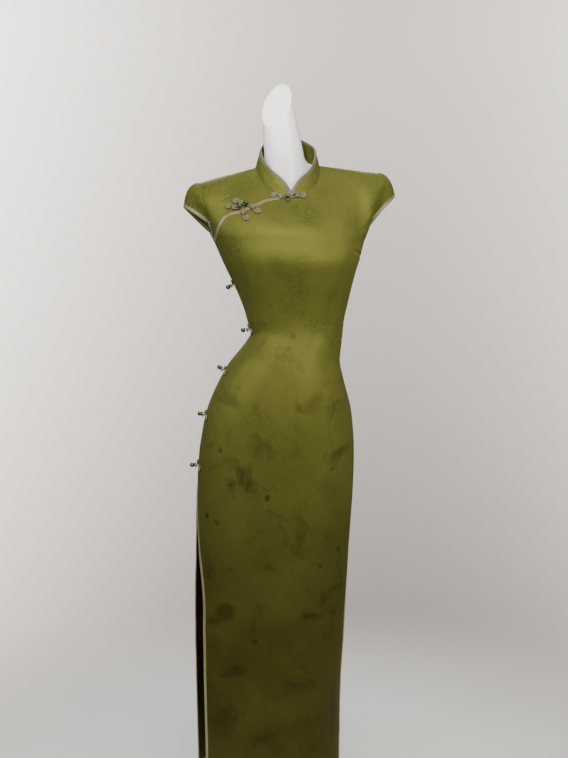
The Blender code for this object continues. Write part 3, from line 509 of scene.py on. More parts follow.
# Sharp creases: side of the dress, first and last share across, height at each, depth (mm)
# and half width (mm).
CREASES = (
    (-1, 0.50, 1.00, 1.2110, 1.1950, 2.80, 2.6),
    (-1, 0.66, 0.99, 1.2700, 1.3050, 0.90, 3.4),
    (-1, 0.58, 0.99, 1.2500, 1.2740, 0.70, 3.0),
    (-1, -0.92, -0.50, 1.3050, 1.3180, 1.50, 3.0),
    (-1, 0.60, 0.97, 1.2040, 1.1830, 0.70, 3.0),
    (-1, -1.00, -0.66, 1.1980, 1.2110, 0.75, 2.2),
    (-1, -0.30, 0.12, 1.0720, 1.0740, 0.30, 1.6),
    (-1, 0.50, 0.78, 0.6590, 0.6540, 0.35, 1.6),
    (-1, 0.42, 0.62, 1.2760, 1.2790, 0.25, 1.6),
    (-1, -1.00, -0.55, 1.0270, 1.0330, 0.80, 3.0),
    (-1, -1.00, -0.62, 1.0120, 1.0020, 0.60, 3.4),
    (-1, -1.00, -0.60, 1.0430, 1.0560, 0.55, 3.2),
    (1, -1.00, -0.50, 1.0280, 1.0370, 0.90, 3.2),
    (1, -1.00, -0.58, 1.0130, 1.0010, 0.70, 3.4),
    (1, -1.00, -0.60, 1.0450, 1.0610, 0.60, 3.2),
    (1, -0.35, 0.30, 1.0300, 1.0330, 0.60, 4.0),
    (1, -0.22, 0.26, 1.0130, 1.0140, 0.45, 3.6),
    (1, 0.60, 1.00, 0.9700, 0.9740, 0.55, 3.0),
    (1, 0.66, 1.00, 0.9850, 0.9960, 0.45, 3.0),
)
WAVES = 14
SILK_SEED = 11
CRACKLE_CELL = 7 * MM
DRAWN_THREAD = 0.8 * MM
# Distance between the bands of a wave texture at scale 1
WAVE_PITCH = 0.314
# Mildew clusters, then wider blotches: the noise's scale, detail, roughness and distortion,
# the values where a stain starts and is full, and how far it darkens the cloth.
STAINS = (
    (24.0, 8.0, 0.72, 0.0, 0.60, 0.74, 0.60),
    (13.0, 4.0, 0.60, 0.6, 0.56, 0.70, 0.62),
)


def soft_waves(side, share, height):
    """A sum of sines with seeded directions, 35 to 110 mm long, 0.2 mm high together."""
    draw = np.random.default_rng(SILK_SEED + side)
    total = 0
    for _ in range(WAVES):
        length, lean = draw.uniform(0.035, 0.11), draw.uniform(-0.7, 0.7)
        start = draw.uniform(0, 6.28)
        run = 0.26 * share * math.cos(lean) + height * math.sin(lean)
        total = total + np.sin(2 * math.pi * run / length + start + 2.1 * np.sin(9 * height))
    return 0.085 * MM * total


def sharp_creases(side, share, height):
    """Each crease is a narrow furrow with a soft ridge on both sides, faded out at its ends. An
    end on the panel's edge isn't faded there."""
    total = 0
    for cloth, first, last, from_height, to_height, depth, half in CREASES:
        if cloth != side:
            continue
        along = (share - first) / (last - first)
        off = height - (from_height + (to_height - from_height) * along)
        off = off - 1.6 * MM * np.sin(3.1 * along + 40 * first)
        fade = ease(along, -0.02, 0.22) * (1 - ease(along, 0.75, 1.02))
        if abs(first) > 0.99:
            fade = (along >= 0) * (1 - ease(along, 0.35, 1.02))
        if abs(last) > 0.99:
            fade = ease(along, -0.02, 0.5)
        size = half * MM
        ridges = 0.55 * bell(off, -2.6 * size, 1.9 * size) + 0.25 * bell(off, 2.4 * size, 1.6 * size)
        total = total + depth * MM * fade * (ridges - bell(off, 0, size))
    return total


def drape(side, share, height):
    """How far the cloth stands off the figure: soft waves, darts, creases, fine drags beside the
    waist, long folds that grow towards the hem, and edges that roll in at the seams."""
    near_edge = 1 - np.abs(share)
    dart = DARTS[side]
    low, high = DART_SPAN[side]
    off = (np.abs(share) - dart) * 0.16
    span = ease(height, low, low + 0.05) * (1 - ease(height, high - 0.05, high))
    darts = span * (-0.55 * bell(off, 0, 1.3 * MM) + 0.25 * bell(off, -4 * MM, 3.2 * MM)) * MM
    skirt = 1 - ease(height, 0.12, 0.80)
    folds = skirt * 1.7 * MM * np.sin(6.4 * share + 0.9 * side + 0.8 * np.sin(4.1 * height))
    folds = folds + skirt * 1.0 * MM * np.sin(13.7 * share + 2.0 - 1.3 * side)
    folds = folds + skirt * 1.9 * MM * bell(near_edge, 0.15, 0.05) * (1 - ease(height, 0.3, 0.72))
    drags = 0.35 * MM * np.sin(2 * math.pi * (height + 0.05 * near_edge) / 0.021)
    drags = drags * bell(height, 1.022, 0.030) * (1 - ease(near_edge, 0.10, 0.50))
    seam = ease(height, SLIT_TOP - 5 * MM, SLIT_TOP + 5 * MM)
    rolled = -0.55 * MM * bell(near_edge * 0.16, 0, 1.6 * MM) * seam
    rolled = rolled - 0.45 * MM * bell(height, SHOULDER, 2.2 * MM)
    # Nothing lifts the cloth off its neighbours where pieces are sewn together
    calm = (1 - 0.85 * bell(height, SHOULDER, 0.02)) * (1 - 0.7 * bell(near_edge, 0, 0.03) * seam)
    soft = soft_waves(side, share, height) * calm
    lap = ease(height, 1.16, 1.24) * (share < 0) * (side < 0)
    quiet = 1 - 0.75 * lap * (1 - ease(share, -0.25, 0))
    return np.maximum((soft + folds + drags) * quiet + darts + sharp_creases(side, share, height)
                      * (1 - 0.6 * lap), -1.0 * MM - 0.9 * MM * skirt) + rolled


def cloth_normal(side, share, height):
    """The figure's normal, turned to halfway between front and back along the shoulder seam."""
    own = figure_normal(side, share, height)
    other = figure_normal(-side, share, np.full_like(height, SHOULDER))
    meet = ease(height, SHOULDER - 9 * MM, SHOULDER) * (np.abs(share) >= NECK_SHARE - 0.02) / 2
    return unit(own * (1 - meet[..., None]) + other * meet[..., None])


def lap_lift(share, height):
    """The front stands off by one layer of cloth where it laps over the piece under it."""
    return LAP_LIFT * (1 - ease(share, 0.02, 0.30)) * ease(height, 1.11, 1.18)


def dress_surface(side, share, height, lift, lapped=True):
    """A point of the cloth: the figure, moved along its normal by the drape and the lift."""
    share, height = np.broadcast_arrays(np.asarray(share, float), np.asarray(height, float))
    stand = drape(side, share, height) + lift
    if side < 0 and lapped:
        stand = stand + lap_lift(share, height)
    return figure(side, share, height) + cloth_normal(side, share, height) * stand[..., None]


def cut_height(share):
    """Height at which each column of the front meets the curved opening, found by halving."""
    low, high = np.full_like(share, OPENING_FOOT), np.full_like(share, SHOULDER)
    for _ in range(32):
        middle = (low + high) / 2
        spot = figure(-1, share, middle)
        under = spot[..., 2] < smooth_read(spot[..., 0], *OPENING.T)
        low, high = np.where(under, middle, low), np.where(under, high, middle)
    return np.where(share < 0, (low + high) / 2, SHOULDER)


def slit_share(side, hand, height):
    """Outermost share of a panel: 1 above the slit, drawn back from the side below it."""
    return 1 - SLIT_BACK_OFF[side, hand] * (1 - ease(height, SLIT_FULL, SLIT_TOP))


def weighted_steps(low, high, count, places, extra, reach):
    """Steps from low to high that lie closer together round the given places."""
    fine = np.linspace(low, high, 4001)
    weight = 1 + sum(e * bell(fine, p, r) for p, e, r in zip(places, extra, reach))
    total = np.concatenate([[0], np.cumsum((weight[1:] + weight[:-1]) / 2)])
    return np.interp(np.linspace(0, total[-1], count), total, fine)


def cloth_uv(points):
    """Lengths in metres along the cloth, across from the middle column and up from the hem."""
    across = np.linalg.norm(np.diff(points, axis=1), axis=-1)
    across = np.pad(np.cumsum(across, axis=1), ((0, 0), (1, 0)))
    across = across - across[:, points.shape[1] // 2][:, None]
    up = np.linalg.norm(np.diff(points, axis=0), axis=-1)
    return np.stack([across, np.pad(np.cumsum(up, axis=0), ((1, 0), (0, 0)))], axis=-1)


def wall_piece(name, inner, outer, finish, nodes, uv=None):
    """A closed wall: an outer and an inner grid, joined by faces round their four edges."""
    rows, columns = outer.shape[:2]
    count = rows * columns
    skin = grid_quads(rows, columns)
    rim = np.concatenate([
        np.arange(columns - 1), columns * np.arange(1, rows) - 1,
        count - 1 - np.arange(columns - 1), columns * np.arange(rows - 1, 0, -1),
    ])
    after = np.roll(rim, -1)
    edge = np.stack([after, rim, rim + count, after + count], axis=-1)
    points = np.concatenate([outer.reshape(-1, 3), inner.reshape(-1, 3)])
    faces = np.concatenate([skin, skin[:, ::-1] + count, edge])
    way = (outer - inner).reshape(-1, 3)[skin].mean(axis=1)
    if outward(points, skin, way) is not skin:
        faces = faces[:, ::-1]
    uv = cloth_uv(outer) if uv is None else uv
    return make_piece(name, points, faces, finish, nodes, uv=np.concatenate([uv, uv]))


def silk_satin(light="#676B30", deep="#302B0E"):
    """Silk satin with a small self-woven crackle figure. Long warp floats give a soft golden
    band where the cloth turns to the light. It is spotted with age and painted darker as shade, most
    at the hem."""
    finish, tree, shader = new_finish(
        "olive silk satin", Metallic=0.36, IOR=1.54, Anisotropic=0.45, Sheen_Weight=0.05,
        Sheen_Roughness=0.45, Sheen_Tint=linear("#C9BE6A"), Specular_Tint=linear("#DCD27A"),
    )
    place = add_node(tree, "ShaderNodeTexCoord").outputs["Object"]
    cloth = add_node(tree, "ShaderNodeUVMap", uv_map="cloth").outputs[0]
    height = add_node(tree, "ShaderNodeSeparateXYZ", {"Vector": place}).outputs["Z"]
    # Painted shade: darker towards the hem, where less light falls, with a mottle in clouds about 150
    # mm wide
    clouds = add_node(
        tree, "ShaderNodeTexNoise", {"Vector": place, "Scale": 6.0, "Detail": 5.0,
                                     "Roughness": 0.55, "Distortion": 0.4},
    ).outputs["Fac"]
    lower = add_node(
        tree, "ShaderNodeMapRange", {"Value": height, "From Min": 1.20, "From Max": 0.15},
        interpolation_type="SMOOTHSTEP",
    ).outputs[0]
    clouded = add_node(
        tree, "ShaderNodeMath", {0: clouds, 1: 0.7, 2: -0.26}, operation="MULTIPLY_ADD",
    ).outputs[0]
    # The hem's painted shade plus the mottle clouds
    hem_shade_and_mottle = add_node(
        tree, "ShaderNodeMath", {0: lower, 1: 0.88, 2: clouded}, operation="MULTIPLY_ADD",
        use_clamp=True,
    ).outputs[0]
    ground = add_node(
        tree, "ShaderNodeMix", {0: hem_shade_and_mottle, 6: linear(light), 7: linear(deep)}, data_type="RGBA",
    ).outputs[2]
    # Crackle figure: cells about 7 mm wide whose borders are woven matt
    warp = add_node(
        tree, "ShaderNodeTexNoise", {"Vector": cloth, "Scale": 90.0, "Detail": 3.0}
    ).outputs["Color"]
    bent = add_node(
        tree, "ShaderNodeMix", {0: 0.018, 4: cloth, 5: warp}, data_type="VECTOR",
    ).outputs[1]
    cells = add_node(
        tree, "ShaderNodeTexVoronoi", {"Vector": bent, "Scale": 1 / CRACKLE_CELL},
        feature="DISTANCE_TO_EDGE",
    ).outputs["Distance"]
    figure_mask = add_node(
        tree, "ShaderNodeMapRange", {"Value": cells, "From Min": 0.02, "From Max": 0.16},
    ).outputs[0]
    patches = add_node(
        tree, "ShaderNodeTexNoise", {"Vector": place, "Scale": 11.0, "Detail": 3.0}
    ).outputs["Fac"]
    patch_mask = add_node(
        tree, "ShaderNodeMapRange", {"Value": patches, "From Min": 0.46, "From Max": 0.62,
                                     "To Min": 0.08, "To Max": 0.46},
    ).outputs[0]
    crackle = add_node(
        tree, "ShaderNodeMath", {0: figure_mask, 1: patch_mask}, operation="MULTIPLY",
    ).outputs[0]
    woven = add_node(
        tree, "ShaderNodeMix", {0: crackle, 6: ground, 7: linear("#3C3E16")}, data_type="RGBA",
    ).outputs[2]
    # Spots: small soft stains, one in each cell of a 65 mm pattern, and mildew over them
    spots = add_node(
        tree, "ShaderNodeTexVoronoi", {"Vector": place, "Scale": 15.0, "Randomness": 1.0}
    )
    ragged = add_node(
        tree, "ShaderNodeTexNoise", {"Vector": place, "Scale": 140.0, "Detail": 3.0}
    ).outputs["Fac"]
    radius = add_node(
        tree, "ShaderNodeMath", {0: ragged, 1: 0.14, 2: spots.outputs["Distance"]},
        operation="MULTIPLY_ADD",
    ).outputs[0]
    spot = add_node(
        tree, "ShaderNodeMapRange", {"Value": radius, "From Min": 0.20, "From Max": 0.12,
                                     "To Min": 0.0, "To Max": 0.75},
    ).outputs[0]
    marks = spot
    for scale, detail, roughness, distortion, low, high, most in STAINS:
        cloud = add_node(
            tree, "ShaderNodeTexNoise", {"Vector": place, "Scale": scale, "Detail": detail,
                                         "Roughness": roughness, "Distortion": distortion},
        ).outputs["Fac"]
        stain = add_node(
            tree, "ShaderNodeMapRange", {"Value": cloud, "From Min": low, "From Max": high,
                                         "To Min": 0.0, "To Max": most},
        ).outputs[0]
        marks = add_node(
            tree, "ShaderNodeMath", {0: marks, 1: stain}, operation="MAXIMUM",
        ).outputs[0]
    weight = add_node(
        tree, "ShaderNodeMapRange", {"Value": height, "From Min": 1.20, "From Max": 0.66,
                                     "To Min": 0.12, "To Max": 1.0},
    ).outputs[0]
    marks = add_node(
        tree, "ShaderNodeMath", {0: marks, 1: weight}, operation="MULTIPLY",
    ).outputs[0]
    colour = add_node(
        tree, "ShaderNodeMix", {0: marks, 6: woven, 7: linear("#1D1605")}, data_type="RGBA",
    ).outputs[2]
    rough = add_node(
        tree, "ShaderNodeMapRange", {"Value": crackle, "To Min": 0.56, "To Max": 0.47},
    ).outputs[0]
    # Weave: threads drawn 0.8 mm apart, coarser than the real 0.1 mm, so that they show
    floats = add_node(
        tree, "ShaderNodeTexWave", {"Vector": cloth, "Scale": WAVE_PITCH / DRAWN_THREAD,
                                    "Distortion": 1.5, "Detail": 2.0, "Detail Scale": 3.0},
        bands_direction="X",
    ).outputs["Fac"]
    fine = add_node(
        tree, "ShaderNodeBump", {"Height": floats, "Strength": 0.10, "Distance": 0.08 * MM}
    ).outputs[0]
    relief = add_node(
        tree, "ShaderNodeBump", {"Height": crackle, "Strength": 0.8, "Distance": 0.3 * MM,
                                 "Normal": fine},
    ).outputs[0]
    rumple = add_node(
        tree, "ShaderNodeTexNoise", {"Vector": place, "Scale": 55.0, "Detail": 4.0}
    ).outputs["Fac"]
    relief = add_node(
        tree, "ShaderNodeBump", {"Height": rumple, "Strength": 0.30, "Distance": 0.9 * MM,
                                 "Normal": relief},
    ).outputs[0]
    tangent = add_node(tree, "ShaderNodeTangent", direction_type="UV_MAP", uv_map="cloth")
    link_shader(
        tree, shader, Base_Color=colour, Roughness=rough, Normal=relief, Tangent=tangent.outputs[0],
    )
    return finish


def make_panels():
    """Grids over share and height. The front's last rows follow the curved opening, and the
    underlap runs from 12 mm below that opening to the shoulder."""
    grids = {}
    for name, side in (("front", -1), ("back", 1)):
        dart = DARTS[side]
        share = weighted_steps(-1, 1, 133, (-1, -dart, dart, 1), (3, 3, 3, 3),
                               (0.03, 0.025, 0.025, 0.03))
        share[np.argmin(np.abs(share))] = 0
        low = weighted_steps(HEM, LEVEL_TOP, 236, (HEM, 1.0, 1.19), (3, 0.8, 1.5),
                             (0.006, 0.06, 0.03))
        rise = weighted_steps(0, 1, 82, (0, 1), (1.5, 4), (0.3, 0.03))[1:]
        top = cut_height(share) if side < 0 else np.full_like(share, SHOULDER)
        height = np.concatenate([np.repeat(low[:, None], len(share), axis=1),
                                 LEVEL_TOP + (top - LEVEL_TOP) * rise[:, None]])
        right, left = (slit_share(side, hand, height) for hand in (-1, 1))
        wide = share * np.where(share < 0, right, left)
        grids[name] = tuple(dress_surface(side, wide, height, lift) for lift in (CLOTH, 0))
    share = -weighted_steps(0, 1, 70, (0, 1), (1, 3), (0.03, 0.03))[::-1]
    top = cut_height(share)
    low = np.minimum(top, SHOULDER - 9 * MM) - LAP_DEPTH * np.where(share > -0.9, 1.15, 1.0)
    rise = weighted_steps(0, 1, 74, (0, 1), (0.5, 3), (0.1, 0.04))
    low = np.maximum(low, UNDERLAP_FOOT)
    height = low + (SHOULDER - low) * rise[:, None]
    wide = np.broadcast_to(share, height.shape)
    grids["underlap"] = tuple(dress_surface(-1, wide, height, lift, lapped=False)
                              for lift in (CLOTH, 0))
    return grids


panels = make_panels()
silk = silk_satin()
PANEL_NODES = {"front": "front_panel", "underlap": "underlap", "back": "back_panel"}
panel_pieces = {
    name: wall_piece(f"silk_{name}", inner, outer, silk, [PANEL_NODES[name]])
    for name, (outer, inner) in panels.items()
}

# Bindings of the panels. Bias strips of grey-beige satin are folded over each raw edge, felled
# down on both faces, and mitred at the hem's corners.
BAND_WIDTH = 6.5 * MM
# Section of a folded strip, from its outer sewn edge round the fold to its inner one, and back
# along the cloth: share of the width, cloth face (1 outer, 0 inner), height off that face (mm)
# and reach beyond the cloth's edge (mm).
FOLD = (
    (1.00, 1, 0.05, 0.00), (1.01, 1, 0.40, 0.00), (0.97, 1, 0.72, 0.00), (0.88, 1, 0.86, 0.00),
    (0.70, 1, 0.92, 0.00), (0.50, 1, 0.95, 0.00), (0.30, 1, 0.94, 0.00), (0.14, 1, 0.88, 0.00),
    (0.04, 1, 0.76, 0.20), (0.00, 1, 0.45, 0.60), (0.00, 1, -0.05, 0.85), (0.00, 0, 0.45, 0.88),
    (0.00, 0, -0.05, 0.75), (0.00, 0, -0.40, 0.40), (0.08, 0, -0.62, 0.00), (0.30, 0, -0.70, 0.00),
    (0.60, 0, -0.68, 0.00), (0.85, 0, -0.58, 0.00), (0.93, 0, -0.35, 0.00), (0.92, 0, -0.05, 0.00),
    (0.50, 0, -0.06, 0.00), (0.06, 0, -0.06, 0.05), (0.00, 0, 0.30, 0.14), (0.00, 1, -0.30, 0.14),
    (0.06, 1, 0.06, 0.05), (0.50, 1, 0.06, 0.00),
)
# Its rows on the flat outer top, and the steps along the curved opening
FOLD_TOP = (3, 4, 5)
BIND_STEP = 2.5 * MM


def binding_satin(name="grey-beige satin bias", light="#938A66", deep="#6B6243", lined=False):
    """Satin cut on the bias: a soft gloss with fine diagonal threads, and small felling
    stitches just inside the sewn edge. The collar's has a dark line between its two cords."""
    finish, tree, shader = new_finish(
        name, Metallic=0.12, Roughness=0.42, IOR=1.54, Sheen_Weight=0.2, Sheen_Roughness=0.4,
        Sheen_Tint=linear("#E4DEC8"),
    )
    cloth_place = add_node(tree, "ShaderNodeUVMap", uv_map="cloth").outputs[0]
    place = add_node(tree, "ShaderNodeTexCoord").outputs["Object"]
    split = add_node(tree, "ShaderNodeSeparateXYZ", {"Vector": cloth_place})
    cloud = add_node(
        tree, "ShaderNodeTexNoise", {"Vector": place, "Scale": 38.0, "Detail": 4.0}
    ).outputs["Fac"]
    ground = add_node(
        tree, "ShaderNodeMix", {0: cloud, 6: linear(light), 7: linear(deep)},
        data_type="RGBA",
    ).outputs[2]
    # Stitches: 1.2 mm long, 3 mm apart, 0.9 mm inside the sewn edge
    beat = add_node(
        tree, "ShaderNodeMath", {0: split.outputs["X"], 1: 1 / (3.0 * MM)}, operation="MULTIPLY",
    ).outputs[0]
    beat = add_node(tree, "ShaderNodeMath", {0: beat}, operation="FRACT").outputs[0]
    on = add_node(tree, "ShaderNodeMath", {0: beat, 1: 0.4}, operation="LESS_THAN").outputs[0]
    row = add_node(
        tree, "ShaderNodeMath", {0: split.outputs["Y"], 1: 0.9 * MM, 2: 0.22 * MM},
        operation="COMPARE",
    ).outputs[0]
    stitch = add_node(tree, "ShaderNodeMath", {0: on, 1: row}, operation="MULTIPLY").outputs[0]
    colour = add_node(
        tree, "ShaderNodeMix", {0: stitch, 6: ground, 7: linear("#57513B")}, data_type="RGBA",
    ).outputs[2]
    if lined:
        line = add_node(
            tree, "ShaderNodeMath", {0: split.outputs["Y"], 1: 3.9 * MM, 2: 0.42 * MM},
            operation="COMPARE",
        ).outputs[0]
        colour = add_node(
            tree, "ShaderNodeMix", {0: line, 6: colour, 7: linear("#2B2618")}, data_type="RGBA",
        ).outputs[2]
    bias = add_node(
        tree, "ShaderNodeMapping", {"Vector": cloth_place, "Rotation": (0, 0, math.radians(45))}
    ).outputs[0]
    threads = add_node(
        tree, "ShaderNodeTexWave", {"Vector": bias, "Scale": WAVE_PITCH / (0.6 * MM),
                                    "Distortion": 1.0},
        bands_direction="X",
    ).outputs["Fac"]
    pulled = add_node(
        tree, "ShaderNodeTexNoise", {"Vector": place, "Scale": 180.0, "Detail": 2.0}
    ).outputs["Fac"]
    fine = add_node(
        tree, "ShaderNodeBump", {"Height": threads, "Strength": 0.15, "Distance": 0.08 * MM}
    ).outputs[0]
    pucker = add_node(
        tree, "ShaderNodeBump", {"Height": pulled, "Strength": 0.25, "Distance": 0.5 * MM,
                                 "Normal": fine},
    ).outputs[0]
    dimple = add_node(
        tree, "ShaderNodeBump", {"Height": stitch, "Strength": 0.5, "Distance": 0.15 * MM,
                                 "Normal": pucker}, invert=True,
    ).outputs[0]
    link_shader(tree, shader, Base_Color=colour, Normal=dimple)
    return finish


def edge_frame(edge, normal, inside):
    """Along an edge: the way in across the cloth, lengthened at corners as a mitre needs, and
    the distance run. inside is a rough way in that settles the sign."""
    step = unit(np.diff(edge, axis=0))
    before, after = np.vstack([step[:1], step]), np.vstack([step, step[-1:]])
    along = unit(before + after)
    way = unit(np.cross(normal, along))
    way = way * np.where(np.sum(way * inside, axis=-1, keepdims=True) < 0, -1, 1)
    mitre = 1 / np.maximum(np.sum(along * after, axis=-1, keepdims=True), 0.5)
    return way * mitre, run_length(edge)


def strip_piece(name, point_at, way, run, section, wall, node, finish):
    """Carries the folded section along an edge. point_at(inset, lift) gives the cloth's point
    that lies inset metres in from the edge and lift metres off the cloth's inner face."""
    rings = []
    for share, face, lift, beyond in section:
        spot = point_at(share * BAND_WIDTH, face * wall + lift * MM)
        rings.append(spot - way * beyond * MM)
    rings = np.stack(rings, axis=1)
    rows, stations = rings.shape[:2]
    flat = rings.reshape(-1, 3)
    faces = grid_quads(rows, stations, round_columns=True)
    # The section is a bent band, so its flat outer top settles which way the faces look
    top = faces[np.isin(faces[:, 0] % stations, FOLD_TOP)]
    way_out = point_at(0.5 * BAND_WIDTH, wall + 3 * MM) - point_at(0.5 * BAND_WIDTH, wall)
    if outward(flat, top, np.repeat(way_out, stations, axis=0)[top[:, 0]]) is not top:
        faces = faces[:, ::-1]
    round_section = np.linalg.norm(np.diff(rings, axis=1, append=rings[:, :1]), axis=-1)
    across = np.pad(np.cumsum(round_section, axis=1), ((0, 0), (1, 0)))[:, :-1]
    uv = np.stack([np.broadcast_to(run[:, None], across.shape), across], axis=-1)
    # Each end is closed by faces from the strip's outer half to its inner half
    half = stations // 2
    caps = []
    for row, flip in ((0, False), (rows - 1, True)):
        k = np.arange(half - 1)
        cap = np.stack([k, k + 1, stations - 2 - k, stations - 1 - k], axis=-1) + row * stations
        caps.append(cap if flip else cap[:, ::-1])
    faces = np.concatenate([faces, *caps])
    piece = make_piece(name, flat, faces, finish, [node], uv=uv)
    return piece


def panel_band(name, side, share, height, inside, node, finish, lapped=True):
    """A strip on a panel: each inset is changed to a step in share and height by least squares
    over the surface's two slopes, so the strip lies on the draped cloth."""
    share, height = np.asarray(share, float), np.asarray(height, float)
    edge = dress_surface(side, share, height, 0.5 * CLOTH, lapped)
    way, run = edge_frame(edge, cloth_normal(side, share, height), inside)
    low, high = np.maximum(share - 0.003, -1), np.minimum(share + 0.003, 1)
    slope_across = (figure(side, high, height) - figure(side, low, height)) / (high - low)[:, None]
    slope_up = (figure(side, share, height + 0.2 * MM) - figure(side, share, height - 1.2 * MM)) \
        / (1.4 * MM)
    aa, ab, bb = (np.sum(p * q, axis=-1) for p, q in (
        (slope_across, slope_across), (slope_across, slope_up), (slope_up, slope_up)))
    det = aa * bb - ab * ab
    pa, pb = np.sum(slope_across * way, axis=-1), np.sum(slope_up * way, axis=-1)
    step_share, step_height = (bb * pa - ab * pb) / det, (aa * pb - ab * pa) / det

    def point_at(inset, lift):
        return dress_surface(
            side, np.clip(share + inset * step_share, -1, 1), height + inset * step_height, lift,
            lapped,
        )

    return strip_piece(name, point_at, way, run, FOLD, CLOTH, node, finish)


def even_run(points, spacing):
    """Parameters from 0 to 1 that walk a line of points in equal steps of its length."""
    run = run_length(points)
    steps = max(int(run[-1] / spacing), 4)
    return np.interp(np.linspace(0, run[-1], steps + 1), run, np.linspace(0, 1, len(points)))


# The piece of cloth that each strip is sewn to, filled in as the strips are made
BOUND = {}
satin = binding_satin()
for side, name in ((-1, "front"), (1, "back")):
    BOUND[f"{name}_skirt_band"] = f"silk_{name}"
    # Down one slit edge, along the hem and up the other, with no point close to a corner
    down = SLIT_TOP - np.linspace(0, 1, 100) * (SLIT_TOP - HEM - BAND_WIDTH)
    right, left = slit_share(side, -1, down), slit_share(side, 1, down)
    hem = np.linspace(0.03 - right[-1], left[-1] - 0.03, 59)
    share = np.concatenate([-right, [-right[-1]], hem, [left[-1]], left[::-1]])
    height = np.concatenate([down, [HEM], np.full_like(hem, HEM), [HEM], down[::-1]])
    spots = figure(side, share, height)
    panel_band(
        f"{name}_skirt_band", side, share, height, np.array([-0.01, side * 0.08, 0.40]) - spots,
        f"{name}_skirt_binding", satin,
    )
BOUND["opening_band"] = "silk_front"
share = -np.linspace(1, 0.004, 1500)
height = cut_height(share)
steps = even_run(figure(-1, share, height), BIND_STEP)
share = np.interp(steps, np.linspace(0, 1, len(share)), share)
height = cut_height(share)
panel_band("opening_band", -1, share, height, np.array([0.02, 0, -1.0]), "opening_binding", satin)
for hand, side, name in ((1, -1, "left_front"), (1, 1, "left_back"), (-1, 1, "right_back"),
                         (-1, -1, "right_front")):
    lapped = not (hand < 0 and side < 0)
    cloth_under = "back" if side > 0 else "front" if lapped else "underlap"
    BOUND[f"{name}_armhole_band"] = f"silk_{cloth_under}"
    height = np.linspace(1.2285 if lapped else 1.2345, 1.2735, 20)
    share = np.full_like(height, float(hand))
    panel_band(
        f"{name}_armhole_band", side, share, height, np.array([-hand, 0, 0.0]),
        f"{name}_armhole_binding", satin, lapped,
    )

# Stand collar. A band of the same silk on a stiff interfacing rises from the neck seam, leans
# in, and is cut to a V in front. A doubled satin cord edge runs round it with a dark line.
COLLAR_WALL = 1.6 * MM
# How far the band leans in for each metre that it rises, at the sides, front and back
COLLAR_LEAN, COLLAR_LEAN_FRONT, COLLAR_LEAN_BACK = 0.29, 0.16, 0.27
COLLAR_BOW, COLLAR_RIPPLE = 0.6 * MM, 0.22 * MM
# Degrees from the centre front, and height of the edge above the neck seam
COLLAR_HEIGHTS = np.array((
    (0, 0.011), (8, 0.026), (21, 0.037), (38, 0.040), (60, 0.039), (90, 0.039), (135, 0.048),
    (180, 0.059),
))
# Degrees from the centre front to each end of the band
COLLAR_GAP = 0.5
# The folded strip of the collar, in the same columns: two cords with a groove between them
CORDED_FOLD = (
    (1.00, 1, 0.05, 0.00), (1.01, 1, 0.45, 0.00), (0.95, 1, 0.85, 0.00), (0.82, 1, 1.02, 0.00),
    (0.68, 1, 0.86, 0.00), (0.60, 1, 0.42, 0.00), (0.55, 1, 0.30, 0.00), (0.50, 1, 0.42, 0.00),
    (0.40, 1, 0.92, 0.00), (0.24, 1, 1.08, 0.00), (0.10, 1, 0.95, 0.10), (0.00, 1, 0.50, 0.62),
    (0.00, 1, -0.25, 0.90), (0.00, 0, 0.45, 0.90), (0.00, 0, -0.20, 0.62), (0.10, 0, -0.58, 0.05),
    (0.40, 0, -0.66, 0.00), (0.80, 0, -0.60, 0.00), (0.93, 0, -0.35, 0.00), (0.92, 0, -0.05, 0.00),
    (0.50, 0, -0.06, 0.00), (0.06, 0, -0.06, 0.05), (0.00, 0, 0.40, 0.14), (0.00, 1, -0.40, 0.14),
    (0.06, 1, 0.06, 0.05), (0.50, 1, 0.06, 0.00),
)


def collar_seam(degrees):
    """The neckline's point at an angle from the V, round by the wearer's left: its swing goes
    as a sine and its rise as one minus a cosine. With it, the way that the band leans."""
    turn = np.radians(degrees)
    right, front = (np.sin(turn) < 0)[..., None], (np.cos(turn) > 0)[..., None]
    hand = np.where(right, NECK_SIDES[-1], NECK_SIDES[1])
    middle = np.where(front, NECK_PIT, NAPE)
    swing, up = np.abs(np.sin(turn)), 1 - np.abs(np.cos(turn))
    seam = middle + (hand - middle) * np.stack([swing, up, up], axis=-1)
    back = (1 - np.cos(turn)) / 2
    inwards = COLLAR_LEAN_FRONT * (1 - back) - COLLAR_LEAN_BACK * back
    return seam, unit(np.stack([-COLLAR_LEAN * np.sin(turn), inwards, np.ones_like(turn)], axis=-1))


def collar_way(degrees):
    """Outward from the collar: square to its lean and to the neckline's run."""
    fine = np.linspace(COLLAR_GAP, 360 - COLLAR_GAP, 721)
    seam, lean = collar_seam(fine)
    way = unit(np.cross(np.gradient(seam, fine, axis=0), lean))
    return unit(np.stack([np.interp(degrees, fine, way[:, k]) for k in range(3)], axis=-1))


def collar_surface(degrees, rise, lift):
    """A distance up the leaning lines from the neckline, then a lift outwards."""
    seam, lean = collar_seam(degrees)
    return seam + lean * rise[..., None] + collar_way(degrees) * lift[..., None]


def collar_body(degrees, share):
    """How far the band stands out at a share of its height: it bows as a stiffened band does,
    and ripples a little round the neck."""
    bow = COLLAR_BOW * np.sin(math.pi * share)
    wave = np.sin(np.radians(degrees) * 7 + 9 * share) * np.sin(math.pi * share)
    return bow + COLLAR_RIPPLE * wave


def collar_top(degrees):
    """Height of the collar's edge above the neck seam."""
    return smooth_read(np.where(degrees > 180, 360 - degrees, degrees), *COLLAR_HEIGHTS.T)


